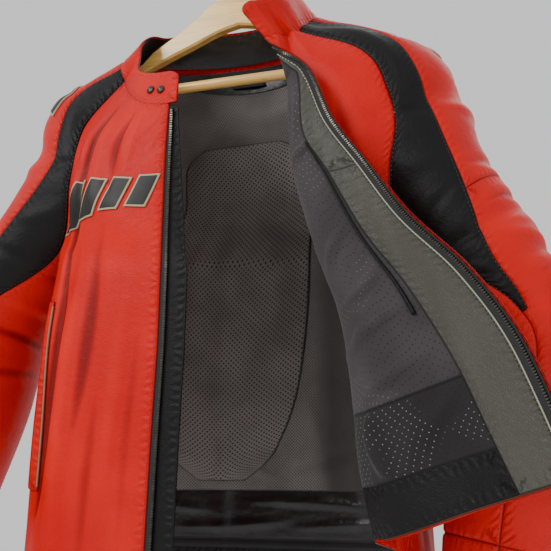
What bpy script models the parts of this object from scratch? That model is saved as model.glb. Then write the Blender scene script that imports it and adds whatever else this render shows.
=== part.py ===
"""Leather motorcycle jacket, unzipped, hanging on a flat wooden hanger.

Metres, +Z up. The jacket's front faces -Y and the wearer's left is at +X.
The origin is the inner top of the hook, where a rail carries everything.
Each cut piece of leather or lining is a thin wall on a surface of its own:
bodies are rows between two seams, sleeves are rings along the arm, and the
left front is folded open, so its rows run from the zip round a roll to the
side seam. Every piece stops short of its seams by SEAM.
"""
import math

import bmesh
import bpy
import numpy as np
from mathutils import Matrix, Vector

# Thicknesses and clearances
LEATHER = 0.0014
LINING = 0.0010
SEAM = 0.00035
LAYER_GAP = 0.0006
LINING_DEPTH = LEATHER + LAYER_GAP
PIPING = 0.0016
HANGER_LOOP = 0.0018
# Border points this close belong to one seam, and no inner corner draws back further than this
SAME_SEAM = 0.0008
MITRE_LIMIT = 0.004

# Where the armhole closes, as a share of the body's length and of the sleeve's
UNDERARM = 0.40
ELBOW_SEAM = 0.44
STRIP_END = 0.66
CUFF_START = 0.93

# Collar
COLLAR_HEIGHT = 0.042
COLLAR_CORNER = 0.013
SNAP_RADIUS = 0.0042
SNAP_HEIGHT = 0.0022
SNAP_GAP = 0.0006
SNAP_PLACES = (0.020, 0.036)

# Trim
ZIP_TAPE = 0.0009
WIND_STRIP = 0.0016
# Free edge of the wind strip, as a share of the right front past its zip: at the top, and lower down
WIND_STRIP_TOP = -0.085
WIND_STRIP_EDGE = -0.150
APPLIQUE = 0.0012
# Width, depth and height of the slider and its pull, and the slider's gap beside the tape
SLIDER = (0.009, 0.005, 0.012)
PULL = (0.006, 0.0016, 0.022)
SLIDER_GAP = 0.0004
# The slider's place on the right front, the row that its pull points to, and the pull's drop
SLIDER_U = -0.040
SLIDER_V = 0.972
PULL_V = 0.930
PULL_DROP = 0.008
METAL_EDGE = 0.0006
FACING_SEAM = UNDERARM
LINING_TOP = 0.04
LINING_CROSS_SEAM = 0.82
HEM_FACING_LEFT = 0.93
BAND_TOP = 0.82
JOIN_ZIP_TOP = 0.91
JOIN_ZIP_END = 0.93
PROTECTOR_MIDDLE = 0.422
PROTECTOR_COLUMNS = 9
PROTECTOR_RIM = 0.002
PROTECTOR_CROWN = 0.012

# Hanger
SHOULDER_GAP = 0.0008
WOOD = 0.014
HANGER_REACH = 0.195
# Cloth below this height hangs past the wood's ends
WOOD_END = -0.20
BAR_RADIUS = 0.006
BAR_Z = -0.161
BAR_HALF = 0.168
BAR_FIT = 0.0003
HOOK_WIRE = 0.002
HOOK_INSIDE = 0.020
HOOK_STEM_END = -0.078
HOOK_STEM_BEND = -0.058
HOOK_STEM_TOP = -0.03
HANGER_COLUMNS = 33
HANGER_EDGE = 0.0022

# Lines across and down each surface
ARM_ROWS = (0, 0.04, 0.08, 0.12, 0.16, 0.20, 0.25, 0.30, 0.35, UNDERARM)
BODY_ROWS = ARM_ROWS + (0.44, 0.48, 0.54, 0.62, 0.70, 0.76, 0.82, 0.865, 0.91, 0.93, 1)
SLEEVE_ROWS = ARM_ROWS + (ELBOW_SEAM, 0.48, 0.53, 0.58, 0.62, STRIP_END, 0.71, 0.77, 0.83, 0.88, CUFF_START)
CUFF_ROWS = (CUFF_START, 0.965, 1)
FRONT_COLUMNS = (0, 0.03, 0.08, 0.16, 0.26, 0.36, 0.46, 0.55, 0.64, 0.73, 0.82, 0.91, 1)
BACK_COLUMNS = (0, 0.03, *(i / 12 for i in range(1, 12)), 0.97, 1)
STRIP_COLUMNS = (0, 0.25, 0.5, 0.75, 1)
SLEEVE_COLUMNS = (0, 0.1, 0.2, 0.3, 0.42, 0.55, 0.7, 0.85, 1)
UNDER_COLUMNS = (0, 0.17, 0.33, 0.5, 0.67, 0.83, 1)

COLOURS = {
    "red_leather": ((0.62, 0.035, 0.03), 0.45, 0.0),
    "black_leather": ((0.035, 0.033, 0.035), 0.50, 0.0),
    "facing_leather": ((0.20, 0.19, 0.165), 0.45, 0.0),
    "mesh_lining": ((0.10, 0.097, 0.10), 0.85, 0.0),
    "satin_lining": ((0.03, 0.028, 0.03), 0.35, 0.0),
    "padding": ((0.13, 0.125, 0.125), 0.85, 0.0),
    "patch_leather": ((0.14, 0.13, 0.10), 0.60, 0.0),
    "zip_tape": ((0.02, 0.02, 0.02), 0.80, 0.0),
    "gunmetal": ((0.10, 0.09, 0.08), 0.35, 1.0),
    "pale_wood": ((0.76, 0.52, 0.27), 0.45, 0.0),
    "steel_wire": ((0.60, 0.60, 0.60), 0.30, 1.0),
}


class Table:
    """Rows of named columns, read anywhere between them as smooth curves."""

    def __init__(self, text):
        lines = [line.split() for line in text.strip().splitlines()]
        self.names = lines[0]
        self.rows = np.array([[float(word) for word in line] for line in lines[1:]])

    def read(self, at, *names):
        columns = [self.names.index(name) for name in names]
        values = spline(self.rows[:, 0], self.rows[:, columns], at)
        return [values[..., i] for i in range(len(names))]

    def point(self, at, *names):
        return np.stack(self.read(at, *(names or ("x", "y", "z"))), -1)


def slopes(gap, step):
    """Slope at each knot: the mean of its two neighbours' steps, weighted by the other's gap."""
    inner = (step[:-1] * gap[1:] + step[1:] * gap[:-1]) / (gap[:-1] + gap[1:])
    return np.concatenate([step[:1], inner, step[-1:]])


def cubic(a, b, m, n, x):
    """Cubic from a to b over x 0 to 1, with slopes m and n."""
    return (a * (2 * x**3 - 3 * x**2 + 1) + b * (3 * x**2 - 2 * x**3)
            + m * (x**3 - 2 * x**2 + x) + n * (x**3 - x**2))


def spline(knots, values, at):
    """Smooth curve through the values at the knots. Past its ends it stays at the end values."""
    gap = np.diff(knots)[:, None]
    slope = slopes(gap, np.diff(values, axis=0) / gap)
    at = np.clip(np.asarray(at, float), knots[0], knots[-1])
    i = np.clip(np.searchsorted(knots, at, side="right") - 1, 0, len(knots) - 2)
    width = (knots[i + 1] - knots[i])[..., None]
    x = (at - knots[i])[..., None] / width
    return cubic(values[i], values[i + 1], slope[i] * width, slope[i + 1] * width, x)


def ease(x):
    x = np.clip(x, 0, 1)
    return x * x * (3 - 2 * x)


def unit(vectors):
    return vectors / np.maximum(np.linalg.norm(vectors, axis=-1, keepdims=True), 1e-9)


def vector(x, y, z):
    return np.stack(np.broadcast_arrays(x, y, z), -1)


# Sleeves: s runs from the neck (0) to the cuff (1). x y z is the middle of a ring,
# tilt and fwd turn it, out and deep are its half sizes. front and back are the
# angles of its two seams, cut the angle where the soft strip meets the outer sleeve.
SLEEVE_RIGHT = Table("""
s     x      y      z     tilt fwd  out   deep  front back cut
0.00 -0.112 -0.020 -0.158  30 -18  0.036 0.052  88   35   55
0.10 -0.152 -0.012 -0.202  20  -8  0.060 0.070  96   75   52
0.20 -0.167 -0.012 -0.240  45   0  0.080 0.078  98   92   74
0.30 -0.178 -0.014 -0.287  64   0  0.078 0.082  100  110  75
0.40 -0.238 -0.016 -0.350  74   2  0.062 0.078  140  140  76
0.55 -0.300 -0.025 -0.430  78   5  0.063 0.075  112  140  80
0.70 -0.322 -0.040 -0.530  80  12  0.062 0.072  86   140  85
0.85 -0.338 -0.070 -0.630  80  18  0.055 0.064  90   140  90
1.00 -0.352 -0.105 -0.735  80  20  0.047 0.054  90   140  90
""")
SLEEVE_LEFT = Table("""
s     x      y      z     tilt fwd  out   deep  front back cut
0.00  0.088 -0.012 -0.148  12   0  0.044 0.062  88   40   30
0.10  0.148 -0.014 -0.188  16   0  0.053 0.068  78   75   34
0.20  0.180 -0.012 -0.226  45   0  0.070 0.078  90   92   58
0.30  0.192 -0.014 -0.275  60   0  0.074 0.084  94   110  60
0.40  0.222 -0.018 -0.338  50   2  0.066 0.082  140  140  64
0.55  0.262 -0.030 -0.408  56   5  0.064 0.076  112  140  84
0.70  0.298 -0.040 -0.490  78   8  0.062 0.070  86   140  85
0.85  0.274 -0.052 -0.600  100 10  0.056 0.062  90   140  90
1.00  0.250 -0.072 -0.725  103 10  0.047 0.054  90   140  90
""")

# Seams of the body below the armhole, v from the neck (0) to the hem (1)
SIDE_FRONT_RIGHT = Table("""
v     x      y      z
0.40 -0.200 -0.068 -0.372
0.55 -0.205 -0.072 -0.450
0.75 -0.216 -0.068 -0.560
1.00 -0.232 -0.058 -0.688
""")
SIDE_FRONT_LEFT = Table("""
v     x      y      z
0.40  0.186 -0.072 -0.365
0.55  0.180 -0.082 -0.450
0.75  0.180 -0.086 -0.560
1.00  0.184 -0.084 -0.684
""")
SIDE_BACK_RIGHT = Table("""
v     x      y      z
0.40 -0.205  0.034 -0.360
0.55 -0.214  0.030 -0.462
0.75 -0.222  0.030 -0.590
1.00 -0.230  0.030 -0.728
""")
SIDE_BACK_LEFT = Table("""
v     x      y      z
0.40  0.190  0.036 -0.360
0.55  0.184  0.036 -0.462
0.75  0.180  0.036 -0.590
1.00  0.178  0.036 -0.728
""")
ZIP_RIGHT = Table("""
v     x      y      z     bulge skew dip
0.00 -0.036 -0.125 -0.229  0.010  0.0 -0.012
0.15 -0.038 -0.130 -0.290  0.014  0.0 -0.006
0.25 -0.039 -0.132 -0.335  0.016  0.1 -0.004
0.40 -0.041 -0.134 -0.400  0.020  0.2  0.000
0.55 -0.044 -0.134 -0.470  0.020  0.3  0.000
0.75 -0.051 -0.134 -0.568  0.020  0.3  0.000
1.00 -0.060 -0.132 -0.696  0.020  0.3 -0.004
""")
BACK = Table("""
v     bulge skew dip
0.00  0.046  0.0 0.004
0.10  0.020  0.0 0.002
0.20  0.016  0.0 0.000
0.40  0.034  0.0 0.000
0.70  0.044  0.0 0.000
1.00  0.042  0.0 -0.010
""")
SIDES = Table("""
v     bulge
0.40  0.004
0.60  0.010
1.00  0.018
""")

# The open left front: e is the free zip edge, f the top of the fold that it hangs from
FLAP = Table("""
v     ex     ey     ez     fx     fy     fz     roll  sag
0.00  0.057 -0.095 -0.159  0.075 -0.085 -0.154  0.004 0.000
0.05  0.078 -0.110 -0.180  0.083 -0.100 -0.201  0.006 0.000
0.14  0.108 -0.112 -0.206  0.087 -0.106 -0.218  0.007 0.000
0.27  0.137 -0.130 -0.269  0.088 -0.110 -0.279  0.010 0.002
0.40  0.170 -0.145 -0.319  0.095 -0.114 -0.326  0.012 0.005
0.50  0.203 -0.165 -0.369  0.112 -0.116 -0.388  0.014 0.008
0.66  0.256 -0.190 -0.430  0.135 -0.118 -0.459  0.016 0.010
0.80  0.292 -0.212 -0.488  0.144 -0.120 -0.537  0.017 0.010
0.90  0.312 -0.230 -0.540  0.148 -0.122 -0.591  0.017 0.008
1.00  0.328 -0.246 -0.588  0.160 -0.124 -0.655  0.017 0.006
""")
# Shares of the left front's width at which its zip edge, roll and seam lie
FLAP_KNOTS = np.array([0, 0.26, 0.52, 0.58, 0.64, 0.82, 1])
FOLD = 0.58
# How far the leather facing reaches from the zip edge, as a share of the way to the fold
FACING = Table("""
v     share
0.00  0.72
0.14  0.66
0.27  0.72
0.40  0.57
0.50  0.50
0.66  0.43
0.80  0.35
1.00  0.26
""")

# The inner pocket's piping, between the leather facing and the fold
PIPING_SHARES = (0.10, 0.16)
# Slanted bars sewn on the chest: middle and size as shares of the right front, the lean
# of their sides and the rise of their ends towards the zip
CHEST_BARS = Table("""
bar  u     v     width height slant rise
1    0.815 0.324 0.150 0.088  -1.20 0.10
2    0.600 0.296 0.160 0.088  -1.20 0.10
3    0.380 0.268 0.165 0.088  -1.20 0.10
4    0.158 0.240 0.165 0.088  -1.20 0.10
""")
BAR_SHARES = np.linspace(-0.5, 0.5, 9)
# Half width of the back protector down the back, as a share of the back's width
PROTECTOR = Table("""
v     half
0.165 0.150
0.190 0.210
0.230 0.236
0.300 0.253
0.400 0.258
0.480 0.258
0.560 0.250
0.640 0.230
0.710 0.190
0.770 0.130
0.800 0.070
""")
# Upper and lower edge of the wood, by distance from the middle
HANGER = Table("""
x      top     bottom
0.000 -0.0470 -0.0945
0.020 -0.0540 -0.0985
0.057 -0.0810 -0.1125
0.100 -0.1070 -0.1285
0.140 -0.1200 -0.1480
0.162 -0.1260 -0.1680
0.195 -0.1400 -0.1830
""")

# Folds of the body: a soft trough (or a ridge, with depth below nothing) down the
# cloth, from u_top at v_from to u_end at v_to
FRONT_FOLDS = Table("""
fold u_top u_end v_from v_to width depth
0    0.70  0.78  0.28   0.80 0.085  0.0050
1    0.48  0.54  0.36   0.95 0.085 -0.0030
2    0.22  0.16  0.50   1.05 0.070  0.0020
""")
BACK_FOLDS = Table("""
fold u_top u_end v_from v_to width depth
0    0.15  0.11  0.30   0.95 0.070  0.0040
1    0.80  0.84  0.20   0.90 0.070  0.0040
2    0.42  0.46  0.60   1.05 0.090 -0.0020
""")

# Folds round a sleeve: at s, about angle, over half sizes long and round, deep inwards
SLEEVE_FOLDS = Table("""
fold s    angle long  round depth
0    0.27  30   0.022  60   0.0045
1    0.36 -40   0.022  50   0.0050
2    0.51  60   0.018  55   0.0050
3    0.585 10   0.018  60   0.0060
4    0.655 80   0.018  60   0.0050
5    0.73 -10   0.020  60   0.0050
6    0.82  50   0.022  60   0.0035
""")
# The left neck is pulled flat between its top and its front seam
NECK_PULL = 0.013
NECK_PULL_ANGLE = 48


def fold_depth(table, u, v):
    """Sum of the body's folds at u, v. It fades out towards the panel's own seams."""
    total = 0.0
    for row in table.rows:
        _, u_top, u_end, v_from, v_to, width, depth = row
        along = np.clip((v - v_from) / (v_to - v_from), 0, 1)
        middle = u_top + (u_end - u_top) * along
        total = total + depth * np.exp(-((u - middle) / width) ** 2) * np.sin(math.pi * along) ** 0.8
    return total * np.clip(6 * u * (1 - u), 0, 1)


def sleeve_fold_depth(side, s, angle):
    total = NECK_PULL * np.exp(-(s / 0.06) ** 2 - ((angle - NECK_PULL_ANGLE) / 32) ** 2) * (side > 0)
    for row in SLEEVE_FOLDS.rows:
        _, place, middle, length, spread, depth = row
        total = total + depth * np.exp(-((s - place) / length) ** 2 - ((angle - middle) / spread) ** 2)
    return total


def ring(arm, side, s, angle):
    """Point of a sleeve: angle 0 is its top, 90 its front, 180 under it and -90 its back."""
    s, angle = np.broadcast_arrays(np.asarray(s, float), np.asarray(angle, float))
    tilt, fwd, out, deep = arm.read(s, "tilt", "fwd", "out", "deep")
    tilt, fwd, turn = np.radians(tilt), np.radians(fwd), np.radians(angle)
    outward = vector(side * np.sin(tilt), 0, np.cos(tilt))
    forward = vector(0, -np.cos(fwd), np.sin(fwd))
    dent = sleeve_fold_depth(side, s, angle)
    reach_out = ((out - dent) * np.cos(turn))[..., None]
    reach_fwd = ((deep - dent) * np.sin(turn))[..., None]
    return arm.point(s) + outward * reach_out + forward * reach_fwd


def seam_angle(arm, s, end):
    """Angle of a sleeve's front seam, or of its back seam as a negative angle."""
    angle, = arm.read(s, end)
    return angle if end == "front" else -angle


def body_seam(arm, side, low, end, v):
    """Outer edge of a body panel: the armhole down to the underarm, then the side seam."""
    v = np.asarray(v, float)
    s = np.clip(v, 0, UNDERARM)
    armhole = ring(arm, side, s, seam_angle(arm, s, end))
    foot = ring(arm, side, UNDERARM, seam_angle(arm, np.array(UNDERARM), end))
    step = foot - low.point(np.array(UNDERARM))
    fade = 1 - ease((v - UNDERARM) / 0.2)
    seam = low.point(np.maximum(v, UNDERARM)) + step * fade[..., None]
    return np.where((v < UNDERARM)[..., None], armhole, seam)


def bowed(start, end, u, bulge, skew, dip, way):
    """Row from start to end that bows out sideways by bulge and sags by dip."""
    line = end - start
    across = unit(vector(line[..., 1], -line[..., 0], 0)) * way
    arc = 4 * u * (1 - u)
    return (start + line * u[..., None] + across * (bulge * arc * (1 + skew * (2 * u - 1)))[..., None]
            + vector(0, 0, dip * arc))


def front_right(u, v):
    """Right front: u 0 at the zip, 1 at the armhole and the side seam."""
    u, v = np.broadcast_arrays(np.asarray(u, float), np.asarray(v, float))
    bulge, skew, dip = ZIP_RIGHT.read(v, "bulge", "skew", "dip")
    end = body_seam(SLEEVE_RIGHT, -1, SIDE_FRONT_RIGHT, "front", v)
    row = bowed(ZIP_RIGHT.point(v), end, u, bulge, skew, dip, -1)
    return row + vector(0, fold_depth(FRONT_FOLDS, u, v), 0)


def back_panel(u, v):
    """Back: u 0 at the wearer's right, 1 at the left."""
    u, v = np.broadcast_arrays(np.asarray(u, float), np.asarray(v, float))
    bulge, skew, dip = BACK.read(v, "bulge", "skew", "dip")
    start = body_seam(SLEEVE_RIGHT, -1, SIDE_BACK_RIGHT, "back", v)
    end = body_seam(SLEEVE_LEFT, 1, SIDE_BACK_LEFT, "back", v)
    row = bowed(start, end, u, bulge, skew, dip, -1)
    return row - vector(0, fold_depth(BACK_FOLDS, u, v), 0)


def side_panel(arm, side, front, back, u, v):
    """Panel under the arm: u 0 at its front seam, 1 at its back seam. Its top closes the armhole."""
    u, v = np.broadcast_arrays(np.asarray(u, float), np.asarray(v, float))

    def plain(height):
        bulge, = SIDES.read(height, "bulge")
        start = body_seam(arm, side, front, "front", height)
        end = body_seam(arm, side, back, "back", height)
        return bowed(start, end, u, bulge, 0, 0, side)

    first = seam_angle(arm, np.array(UNDERARM), "front")
    last = 360 + seam_angle(arm, np.array(UNDERARM), "back")
    lift = ring(arm, side, UNDERARM, first + (last - first) * u) - plain(np.full(v.shape, UNDERARM))
    fade = 1 - ease((v - UNDERARM) / 0.12)
    return plain(v) + lift * fade[..., None]


def side_right(u, v):
    return side_panel(SLEEVE_RIGHT, -1, SIDE_FRONT_RIGHT, SIDE_BACK_RIGHT, u, v)


def side_left(u, v):
    return side_panel(SLEEVE_LEFT, 1, SIDE_FRONT_LEFT, SIDE_BACK_LEFT, u, v)


def capped(tangent, chord):
    """Tangent made no longer than its chord, so that a curve has no swelling beside a tight roll."""
    length = np.linalg.norm(tangent, axis=-1, keepdims=True)
    limit = np.linalg.norm(chord, axis=-1, keepdims=True)
    return tangent * np.minimum(1, limit / np.maximum(length, 1e-9))


def front_left(u, v):
    """Left front, folded open: u 0 at the zip, then round the roll to 1 at armhole and side seam."""
    u, v = np.broadcast_arrays(np.asarray(u, float), np.asarray(v, float))
    edge = FLAP.point(v, "ex", "ey", "ez")
    fold = FLAP.point(v, "fx", "fy", "fz")
    roll, sag = FLAP.read(v, "roll", "sag")
    end = body_seam(SLEEVE_LEFT, 1, SIDE_FRONT_LEFT, "front", v)
    round_off = roll[..., None]
    lift = vector(0, 0.9 * roll, 0)
    on_flap = fold + unit(edge - fold) * round_off - lift
    on_chest = fold + unit(end - fold) * round_off + lift
    flap_middle = (on_flap + edge) / 2 + vector(0, sag, 0)
    chest_middle = (on_chest + end) / 2 - vector(0, 0.006, 0)
    stops = np.stack([edge, flap_middle, on_flap, fold, on_chest, chest_middle, end])
    gap = np.diff(FLAP_KNOTS).reshape(-1, *[1] * u.ndim, 1)
    slope = slopes(gap, np.diff(stops, axis=0) / gap)
    result = np.zeros(stops.shape[1:])
    last = len(FLAP_KNOTS) - 2
    for i in range(last + 1):
        low = -np.inf if i == 0 else FLAP_KNOTS[i]
        high = np.inf if i == last else FLAP_KNOTS[i + 1]
        x = ((u - FLAP_KNOTS[i]) / (FLAP_KNOTS[i + 1] - FLAP_KNOTS[i]))[..., None]
        chord = stops[i + 1] - stops[i]
        leave = capped(slope[i] * gap[i], chord)
        arrive = capped(slope[i + 1] * gap[i], chord)
        piece = cubic(stops[i], stops[i + 1], leave, arrive, x)
        result = np.where(((u >= low) & (u < high))[..., None], piece, result)
    return result


def flap_reach(distance):
    """Column of the left front that stays the same distance in from its zip edge."""

    def column(v):
        edge = FLAP.point(v, "ex", "ey", "ez")
        fold = FLAP.point(v, "fx", "fy", "fz")
        end = body_seam(SLEEVE_LEFT, 1, SIDE_FRONT_LEFT, "front", v)
        flap = np.linalg.norm(fold - edge, axis=-1)
        chest = np.linalg.norm(end - fold, axis=-1)
        return np.where(distance < flap, FOLD * distance / flap,
                        FOLD + (1 - FOLD) * np.clip((distance - flap) / chest, 0, 0.95))

    return column


def facing_edge(v):
    share, = FACING.read(v, "share")
    return np.maximum(FOLD * share, flap_reach(0.017)(v))


def part_way(start, end, share):
    """Column that lies between two others."""

    def column(v):
        first = start(v) if callable(start) else start
        last = end(v) if callable(end) else end
        return first + (last - first) * share

    return column


RED_EDGE = flap_reach(0.002)
TAPE_EDGE = flap_reach(0.0128)
BEFORE_FOLD = 0.55
FACING_COLUMNS = [part_way(TAPE_EDGE, facing_edge, share) for share in (0, 0.33, 0.67, 1)]
LINING_COLUMNS = [part_way(facing_edge, BEFORE_FOLD, share) for share in (0, 0.34, 0.67, 1)]
PAST_FOLD = (FOLD, 0.61, 0.64, 0.72, 0.82, 0.91, 1)
FLAP_COLUMNS = [0, RED_EDGE, *FACING_COLUMNS[:-1], *LINING_COLUMNS, *PAST_FOLD]


def sleeve_part(arm, side, first, last):
    """Surface of a sleeve between two angles given as functions of s: u across, v along."""

    def surface(u, v):
        u, v = np.broadcast_arrays(np.asarray(u, float), np.asarray(v, float))
        start, end = first(arm, v), last(arm, v)
        return ring(arm, side, v, start + (end - start) * u)

    return surface


def at_front(arm, s):
    return seam_angle(arm, s, "front")


def at_cut(arm, s):
    """Edge of the soft strip. Past its tip it lies on the front seam."""
    cut, front = arm.read(s, "cut", "front")
    return np.where(s > STRIP_END + 0.001, front, np.minimum(cut, front - 2.0))


def at_back(arm, s):
    return seam_angle(arm, s, "back")


def at_back_from_below(arm, s):
    return 360 + seam_angle(arm, s, "back")


def full_turn(arm, s):
    return at_front(arm, s) - 360


# The collar leans along these lines from the neck seam: w 0 at its right end, 1 at its left
COLLAR_LEAN = Table("""
w     x      y      z
0.00 -0.06   0.30   0.95
0.10 -0.12   0.40   0.91
0.22  0.30   0.48   0.82
0.34  0.62   0.10   0.78
0.46  0.05  -0.22   0.97
0.60 -0.10  -0.20   0.97
0.70 -0.80   0.05   0.60
0.80 -0.55  -0.10   0.80
0.90 -0.40  -0.40   0.80
1.00 -0.54  -0.49   0.68
""")


def neckline():
    """The neck seam from the right tab round the back to the left zip, at the panels' own points."""
    tab = front_right(np.array([-0.09, -0.06, -0.03]), np.array(0.0))
    runs = [
        tab,
        front_right(np.array(FRONT_COLUMNS[:-1]), np.array(0.0)),
        sleeve_part(SLEEVE_RIGHT, -1, at_front, at_cut)(np.array(STRIP_COLUMNS[:-1]), np.array(0.0)),
        sleeve_part(SLEEVE_RIGHT, -1, at_cut, at_back)(np.array(SLEEVE_COLUMNS[:-1]), np.array(0.0)),
        back_panel(np.array(BACK_COLUMNS[:-1]), np.array(0.0)),
        sleeve_part(SLEEVE_LEFT, 1, at_cut, at_back)(np.array(SLEEVE_COLUMNS[:0:-1]), np.array(0.0)),
        sleeve_part(SLEEVE_LEFT, 1, at_front, at_cut)(np.array(STRIP_COLUMNS[:0:-1]), np.array(0.0)),
        front_left(columns_at(FLAP_COLUMNS, np.zeros(1))[0, ::-1], np.array(0.0)),
    ]
    return np.concatenate(runs)


def collar_points(levels):
    """Collar: rows at shares of its height, from the neck seam up.

    Its foot follows the neck seam and its top an evened copy of it, so small
    corners of the seam fade out. Its two ends are rounded at the top.
    """
    foot = neckline()
    length = np.concatenate([[0], np.cumsum(np.linalg.norm(np.diff(foot, axis=0), axis=-1))])
    spread = np.exp(-((length[:, None] - length[None, :]) / 0.018) ** 2)
    even = (spread @ foot) / spread.sum(1, keepdims=True)
    edge = np.minimum(length, length[-1] - length)[:, None]
    even = foot + (even - foot) * ease(edge / 0.03)
    w = length / length[-1]
    lean = unit(COLLAR_LEAN.point(w))
    corner = np.clip(1 - edge / COLLAR_CORNER, 0, 1)
    height = COLLAR_HEIGHT - COLLAR_CORNER * (1 - np.sqrt(1 - corner ** 2))
    rows = []
    for level in levels:
        rows.append(foot + (even - foot) * ease(level) + lean * (SEAM + (height - SEAM) * level))
    return np.stack(rows)


def normals_of(points):
    """Normals of a grid of points: at each point the mean of the cells round it."""
    rows, columns = points.shape[:2]
    cell = unit(np.cross(points[1:, 1:] - points[:-1, :-1], points[1:, :-1] - points[:-1, 1:]))
    total = np.zeros_like(points)
    for i in (0, 1):
        for j in (0, 1):
            total[i:rows - 1 + i, j:columns - 1 + j] += cell
    return unit(total)


def columns_at(columns, v):
    """Shares of the width at each row. A column is a share, or a function of v."""
    return np.stack([column(v) if callable(column) else 0 * v + column for column in columns], -1)


def short_diagonal(points):
    """Whether each cell of a grid is shorter from its first corner to its last than across."""
    main = np.linalg.norm(points[1:, 1:] - points[:-1, :-1], axis=-1)
    other = np.linalg.norm(points[1:, :-1] - points[:-1, 1:], axis=-1)
    return main <= other


class Cloth:
    """A cut piece's own grid of points. Other pieces are laid on it, parallel to its facets."""

    def __init__(self, surface, columns, rows, side):
        self.rows = np.asarray(rows, float)
        self.columns = columns_at(columns, self.rows)
        self.points = surface(self.columns, np.repeat(self.rows[:, None], len(columns), axis=1))
        self.normals = normals_of(self.points) * side
        self.diagonal = short_diagonal(self.points)
        self.side = side

    def cell(self, u, v):
        """Cell that holds each u, v, and the shares of the way across and down it."""
        i = np.clip(np.searchsorted(self.rows, v, side="right") - 1, 0, len(self.rows) - 2)
        t = (v - self.rows[i]) / (self.rows[i + 1] - self.rows[i])
        lines = self.columns[i] + (self.columns[i + 1] - self.columns[i]) * t[..., None]
        j = np.clip((lines <= u[..., None] + 1e-9).sum(-1) - 1, 0, lines.shape[-1] - 2)
        low = np.take_along_axis(lines, j[..., None], -1)[..., 0]
        high = np.take_along_axis(lines, j[..., None] + 1, -1)[..., 0]
        return i, j, (u - low) / (high - low), t

    def laid(self, u, v, depth):
        """Points at u, v, moved inwards by depth, read straight between the grid's own points."""
        u, v = np.broadcast_arrays(np.asarray(u, float), np.asarray(v, float))
        moved = self.points - self.normals * depth
        i, j, x, t = self.cell(u, v)
        first, across, down, last = moved[i, j], moved[i, j + 1], moved[i + 1, j], moved[i + 1, j + 1]
        x, t = x[..., None], t[..., None]
        over = first + x * (across - first) + t * (last - across)
        under = first + t * (down - first) + x * (last - down)
        near = first + x * (across - first) + t * (down - first)
        beyond = last + (1 - x) * (down - last) + (1 - t) * (across - last)
        main = np.where(x > t, over, under)
        other = np.where(x + t < 1, near, beyond)
        return np.where(self.diagonal[i, j][..., None], main, other)

    def diagonals(self, u, v):
        """The diagonal of each cell of a laid piece: that of the cell it lies in."""
        middle_u = (u[1:, 1:] + u[:-1, :-1] + u[1:, :-1] + u[:-1, 1:]) / 4
        middle_v = (v[1:, 1:] + v[:-1, :-1] + v[1:, :-1] + v[:-1, 1:]) / 4
        i, j, _, _ = self.cell(middle_u, middle_v)
        return self.diagonal[i, j]


def trimmed(points, gap):
    """Grid with each of its four edges drawn in by gap."""
    points = points.copy()
    points[0] += unit(points[1] - points[0]) * gap
    points[-1] += unit(points[-2] - points[-1]) * gap
    points[:, 0] += unit(points[:, 1] - points[:, 0]) * gap
    points[:, -1] += unit(points[:, -2] - points[:, -1]) * gap
    return points


def material(name):
    if name in bpy.data.materials:
        return bpy.data.materials[name]
    colour, roughness, metallic = COLOURS[name]
    made = bpy.data.materials.new(name)
    made.use_nodes = True
    shader = made.node_tree.nodes["Principled BSDF"]
    shader.inputs["Base Color"].default_value = (*colour, 1)
    shader.inputs["Roughness"].default_value = roughness
    shader.inputs["Metallic"].default_value = metallic
    return made


def add_object(name, mesh, look):
    thing = bpy.data.objects.new(name, mesh)
    mesh.materials.append(material(look))
    PARTS.objects.link(thing)
    return thing


def grid_faces(rows, columns, closed=False, flip=False):
    faces = []
    for i in range(rows - 1):
        for j in range(columns if closed else columns - 1):
            k = (j + 1) % columns
            face = (i * columns + j, i * columns + k, (i + 1) * columns + k, (i + 1) * columns + j)
            faces.append(face[::-1] if flip else face)
    return faces


def smooth_shading(mesh):
    mesh.shade_smooth()
    mesh.set_sharp_from_angle(angle=math.radians(50))


def sheet(name, points, thickness, look, side=1, closed=False):
    """A cloth wall: an open sheet through the points that grows inwards with Solidify."""
    rows, columns = points.shape[:2]
    mesh = bpy.data.meshes.new(name)
    mesh.from_pydata(points.reshape(-1, 3).tolist(), [], grid_faces(rows, columns, closed, side < 0))
    smooth_shading(mesh)
    thing = add_object(name, mesh, look)
    solid = thing.modifiers.new("Thickness", "SOLIDIFY")
    solid.thickness = thickness
    solid.offset = -1
    return thing


def slab(name, near, far, look, diagonal=None, side=1):
    """A solid between two grids of the same size: their faces and a rim that joins them.

    With diagonal, each cell is two triangles, split the same way on both faces.
    """
    if side < 0:
        near, far, diagonal = near[:, ::-1], far[:, ::-1], ~diagonal[:, ::-1]
    rows, columns = near.shape[:2]
    count = rows * columns
    faces = grid_faces(rows, columns)
    if diagonal is not None:
        halves = []
        for (a, b, c, d), main in zip(faces, diagonal.ravel()):
            halves += [(a, b, c), (a, c, d)] if main else [(a, b, d), (b, c, d)]
        faces = halves
    faces += [tuple(count + i for i in reversed(face)) for face in faces]
    rim = list(range(columns)) + [i * columns + columns - 1 for i in range(1, rows)]
    rim += [(rows - 1) * columns + j for j in range(columns - 2, -1, -1)]
    rim += [i * columns for i in range(rows - 2, 0, -1)]
    for here, there in zip(rim, rim[1:] + rim[:1]):
        faces.append((there, here, count + here, count + there))
    mesh = bpy.data.meshes.new(name)
    mesh.from_pydata(np.concatenate([near.reshape(-1, 3), far.reshape(-1, 3)]).tolist(), [], faces)
    smooth_shading(mesh)
    return add_object(name, mesh, look)


def cut_piece(name, surface, columns, rows, look, side=1):
    """Notes a piece of the outer leather. sew_leather gives all of them their walls."""
    CLOTHS[name] = Cloth(surface, columns, rows, side)
    LEATHERS.append((name, look))


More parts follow.
